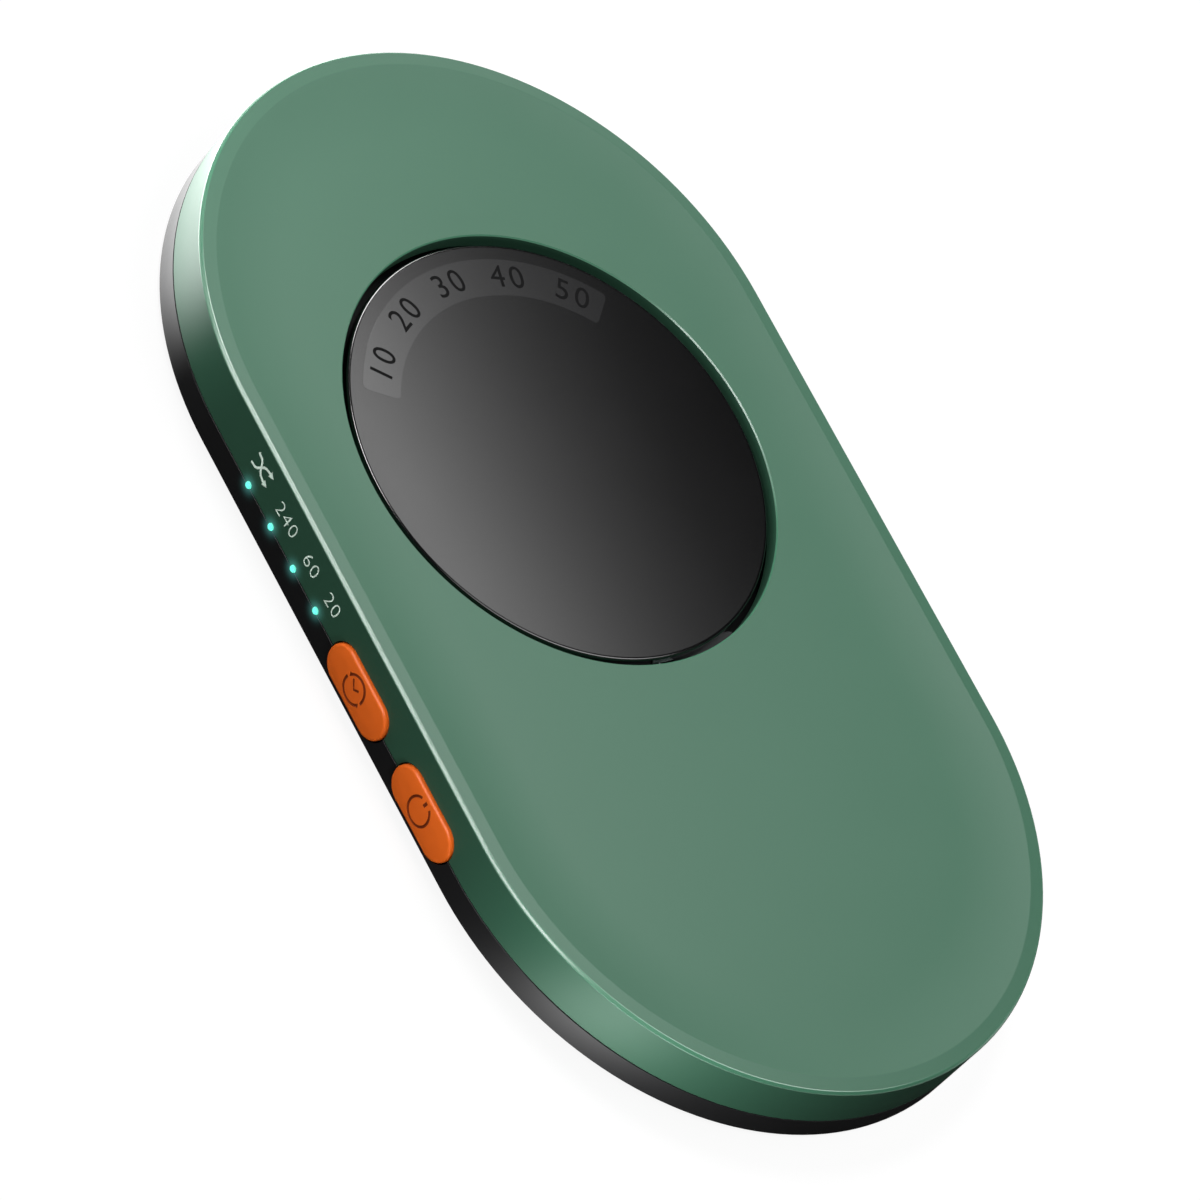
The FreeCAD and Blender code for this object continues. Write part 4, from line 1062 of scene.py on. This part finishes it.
def makeFloor():
    f = floorLook
    clearSelection()
    bpy.ops.mesh.primitive_plane_add(size=f["size"])
    floor = named("floor")
    edit(floor)
    selectAll()
    bpy.ops.mesh.subdivide(number_cuts=3)
    leave()
    material, tree = makeGlowing("paleFloor")
    path = tree.nodes.new("ShaderNodeLightPath").outputs
    x, y = objectSpot(tree)[1][:2]
    # white that still takes the object's shadow
    plain = tree.nodes.new("ShaderNodeAddShader")
    feed(tree, plain.inputs[0], makeGlow(tree, f["white"]))
    feed(tree, plain.inputs[1], makeMatt(tree, f["shadowShare"]))
    # gloss sees a dim floor close beside the case, with two painted pools of light, and painted shade that
    # darkens them where they touch the case
    wall = case["endRadius"]
    past = calc(tree, "MAXIMUM", calc(tree, "SUBTRACT", calc(tree, "ABSOLUTE", y), case["endOffset"] * mm), 0)
    away = calc(tree, "SQRT", calc(tree, "MULTIPLY_ADD", past, past, calc(tree, "MULTIPLY", x, x)))
    clear = calc(tree, "ADD", makeRise(tree, away, wall, f["clearTo"], f["clearGain"]), f["contact"])
    outwards = calc(tree, "SUBTRACT", away, wall * mm)
    leant = calc(tree, "MULTIPLY_ADD", outwards, f["nearLean"], y)
    step = calc(tree, "DIVIDE", calc(tree, "SUBTRACT", leant, f["nearY"] * mm), f["nearWidth"] * mm)
    near = calc(tree, "MULTIPLY", fading(tree, calc(tree, "MULTIPLY", step, step)), f["nearBright"])
    leant = calc(tree, "MULTIPLY_ADD", outwards, f["farLean"], y)
    pools = calc(tree, "ADD", near, makeRise(tree, leant, f["farFrom"], f["farTo"], f["farBright"]))
    pools = calc(tree, "MULTIPLY_ADD", pools, clear, f["dim"])
    leftSide = calc(tree, "SUBTRACT", 1, makeRise(tree, x, f["poolFrom"], f["poolTo"]))
    beside = makeGlow(tree, calc(tree, "MULTIPLY", pools, leftSide))
    mirrored = mixed(tree, makeRise(tree, away, f["beside"], f["beyond"]), beside, plain.outputs[0])
    around = mixed(tree, path["Is Glossy Ray"], makeMatt(tree, f["bounce"]), mirrored)
    direct = calc(tree, "MAXIMUM", path["Is Camera Ray"], path["Is Transmission Ray"])
    surface = tree.nodes.new("ShaderNodeOutputMaterial").inputs["Surface"]
    feed(tree, surface, mixed(tree, direct, around, plain.outputs[0]))
    floor.data.materials.append(material)


card = {
    # only the turntable's gloss shows it; its light falls off to the right by slope and bend, per millimetre
    "from": 96, "fadeFrom": 104, "to": 178, "bright": 1.5, "slope": 0.040, "bend": 0.00034,
    "height": 150, "depth": 84, "y": 75,
}


def makeCard():
    c = card
    clearSelection()
    middle = ((c["from"] + c["to"]) / 2 * mm, c["y"] * mm, c["height"] * mm)
    bpy.ops.mesh.primitive_plane_add(size=1, location=middle)
    plane = named("glossCard")
    plane.scale = ((c["to"] - c["from"]) * mm, c["depth"] * mm, 1)
    bpy.ops.object.transform_apply()
    material, tree = makeGlowing("cardGlow")
    along = calc(tree, "MULTIPLY_ADD", objectSpot(tree)[1]["X"], 1 / mm, -c["fadeFrom"])
    along = calc(tree, "MAXIMUM", along, 0)
    drop = calc(tree, "MULTIPLY", along, calc(tree, "MULTIPLY_ADD", along, c["bend"], c["slope"]))
    bright = calc(tree, "MULTIPLY", fading(tree, drop), c["bright"])
    feed(tree, tree.nodes.new("ShaderNodeOutputMaterial").inputs["Surface"], makeGlow(tree, bright))
    plane.data.materials.append(material)
    plane.visible_camera = plane.visible_diffuse = plane.visible_shadow = plane.visible_transmission = False
    return plane


studio = {
    # each lamp's place, size and power; a fourth value is where it points, else the case's middle
    "topBox": ((0.05, 0.38, 0.82), 0.3, 3.2),
    "frontBox": ((0.30, -0.23, 0.82), 0.75, 3.0),
    "sheenBox": ((0.14, 0.08, 0.30), 0.18, 0.3),
    "lowBox": ((0.62, 0.50, 0.42), 0.3, 0.72),
    "nearPool": ((-0.065, -0.0756, 0.014), 0.02, 0.016, (-0.033, -0.052, 0.005)),
    "farPool": ((-0.055, 0.105, 0.025), 0.04, 0.033, (-0.03, 0.055, 0.005)),
    "detailLamp": ((-0.4, 0.05, 0.5), 0.2, 2.1),
    "rimLamp": ((0.43, 0.67, 0.58), 0.42, 3.6),
    # strips end to end along a path, for the line of light on the upper edge
    "stripPath": ((-0.378, 0.743, 0.457), (-0.579, 0.525, 0.540), (-0.674, -0.104, 0.662),
                  (-0.584, -0.295, 0.688), (-0.285, -0.643, 0.638)),
    "stripPowers": (0.15, 1.1, 0.55, 0.06), "stripWidth": 0.06,
    "air": 0.01,
}


def addLamp(name, spot, size, power, target=(0, 0, 0)):
    clearSelection()
    bpy.ops.object.light_add(type="AREA", location=spot)
    light = bpy.context.object
    light.name = name
    light.data.energy = power
    light.data.shape = "DISK"
    light.data.size = size
    light.rotation_euler = (Vector(target) - Vector(spot)).to_track_quat("-Z", "Y").to_euler()
    light.visible_camera = False
    return light


def addStrip(name, start, end, width, power):
    # a long narrow lamp from one point to the other, facing the case
    start, end = Vector(start), Vector(end)
    light = addLamp(name, (start + end) / 2, width, power)
    light.data.shape = "RECTANGLE"
    light.data.size, light.data.size_y = (end - start).length, width
    along = (end - start).normalized()
    back = (light.location - along * light.location.dot(along)).normalized()
    light.rotation_euler = Matrix((along, back.cross(along), back)).transposed().to_euler()
    return light


def litOnly(light, name, pieces):
    # a lamp or card kept to the pieces named
    group = bpy.data.collections.get(name) or bpy.data.collections.new(name)
    for piece in pieces:
        if piece not in group.objects[:]:
            group.objects.link(piece)
    light.light_linking.receiver_collection = group


def piecesOf(*starts):
    pieces = [piece for piece in bpy.data.objects if piece.type == "MESH"]
    return [piece for piece in pieces if piece.name.startswith(starts)]


def makeStudio():
    s = studio
    turning = piecesOf("turntable", "printedBand", "dialNumbers")
    still = [piece for piece in piecesOf("") if piece not in turning and piece.name != "floor"]
    details = piecesOf("intervalKey", "powerKey", "wallNumber", "wallArrows")
    addLamp("topBox", *s["topBox"])
    addLamp("frontBox", *s["frontBox"])
    forCase = [addLamp(name, *s[name]) for name in ("sheenBox", "lowBox")]
    for i, power in enumerate(s["stripPowers"]):
        ends = s["stripPath"][i:i + 2]
        forCase.append(addStrip(f"strip{i + 1}", *ends, s["stripWidth"], power))
    for name in ("nearPool", "farPool"):
        forCase.append(addLamp(name, *s[name]))
        forCase[-1].visible_glossy = False
    for light in forCase:
        litOnly(light, "litCase", still)
    litOnly(addLamp("detailLamp", *s["detailLamp"]), "litDetails", details)
    for source in (addLamp("rimLamp", *s["rimLamp"]), makeCard()):
        litOnly(source, "litTable", turning)
    world = bpy.data.worlds.new("studioAir")
    bpy.context.scene.world = world
    world.use_nodes = True
    air = world.node_tree.nodes["Background"].inputs
    air["Color"].default_value = (1, 1, 1, 1)
    air["Strength"].default_value = s["air"]


camera = {
    "place": (-0.61648, -0.26640, 0.64129), "lens": 244.0, "sensor": 36, "near": 0.01,
    "right": (0.7268, -0.4576, 0.5122), "up": (0.1686, 0.8418, 0.5127), "back": (-0.6658, -0.2863, 0.6890),
}


def makeCamera():
    clearSelection()
    bpy.ops.object.camera_add(location=camera["place"])
    eye = bpy.context.object
    eye.data.lens = camera["lens"]
    eye.data.sensor_width = camera["sensor"]
    eye.data.clip_start = camera["near"]
    axes = Matrix((camera["right"], camera["up"], camera["back"])).transposed()
    eye.rotation_euler = axes.to_euler()
    bpy.context.scene.camera = eye


makeFloor()
makeStudio()
makeCamera()
bpy.context.scene.view_settings.view_transform = "Standard"
print("studio made")
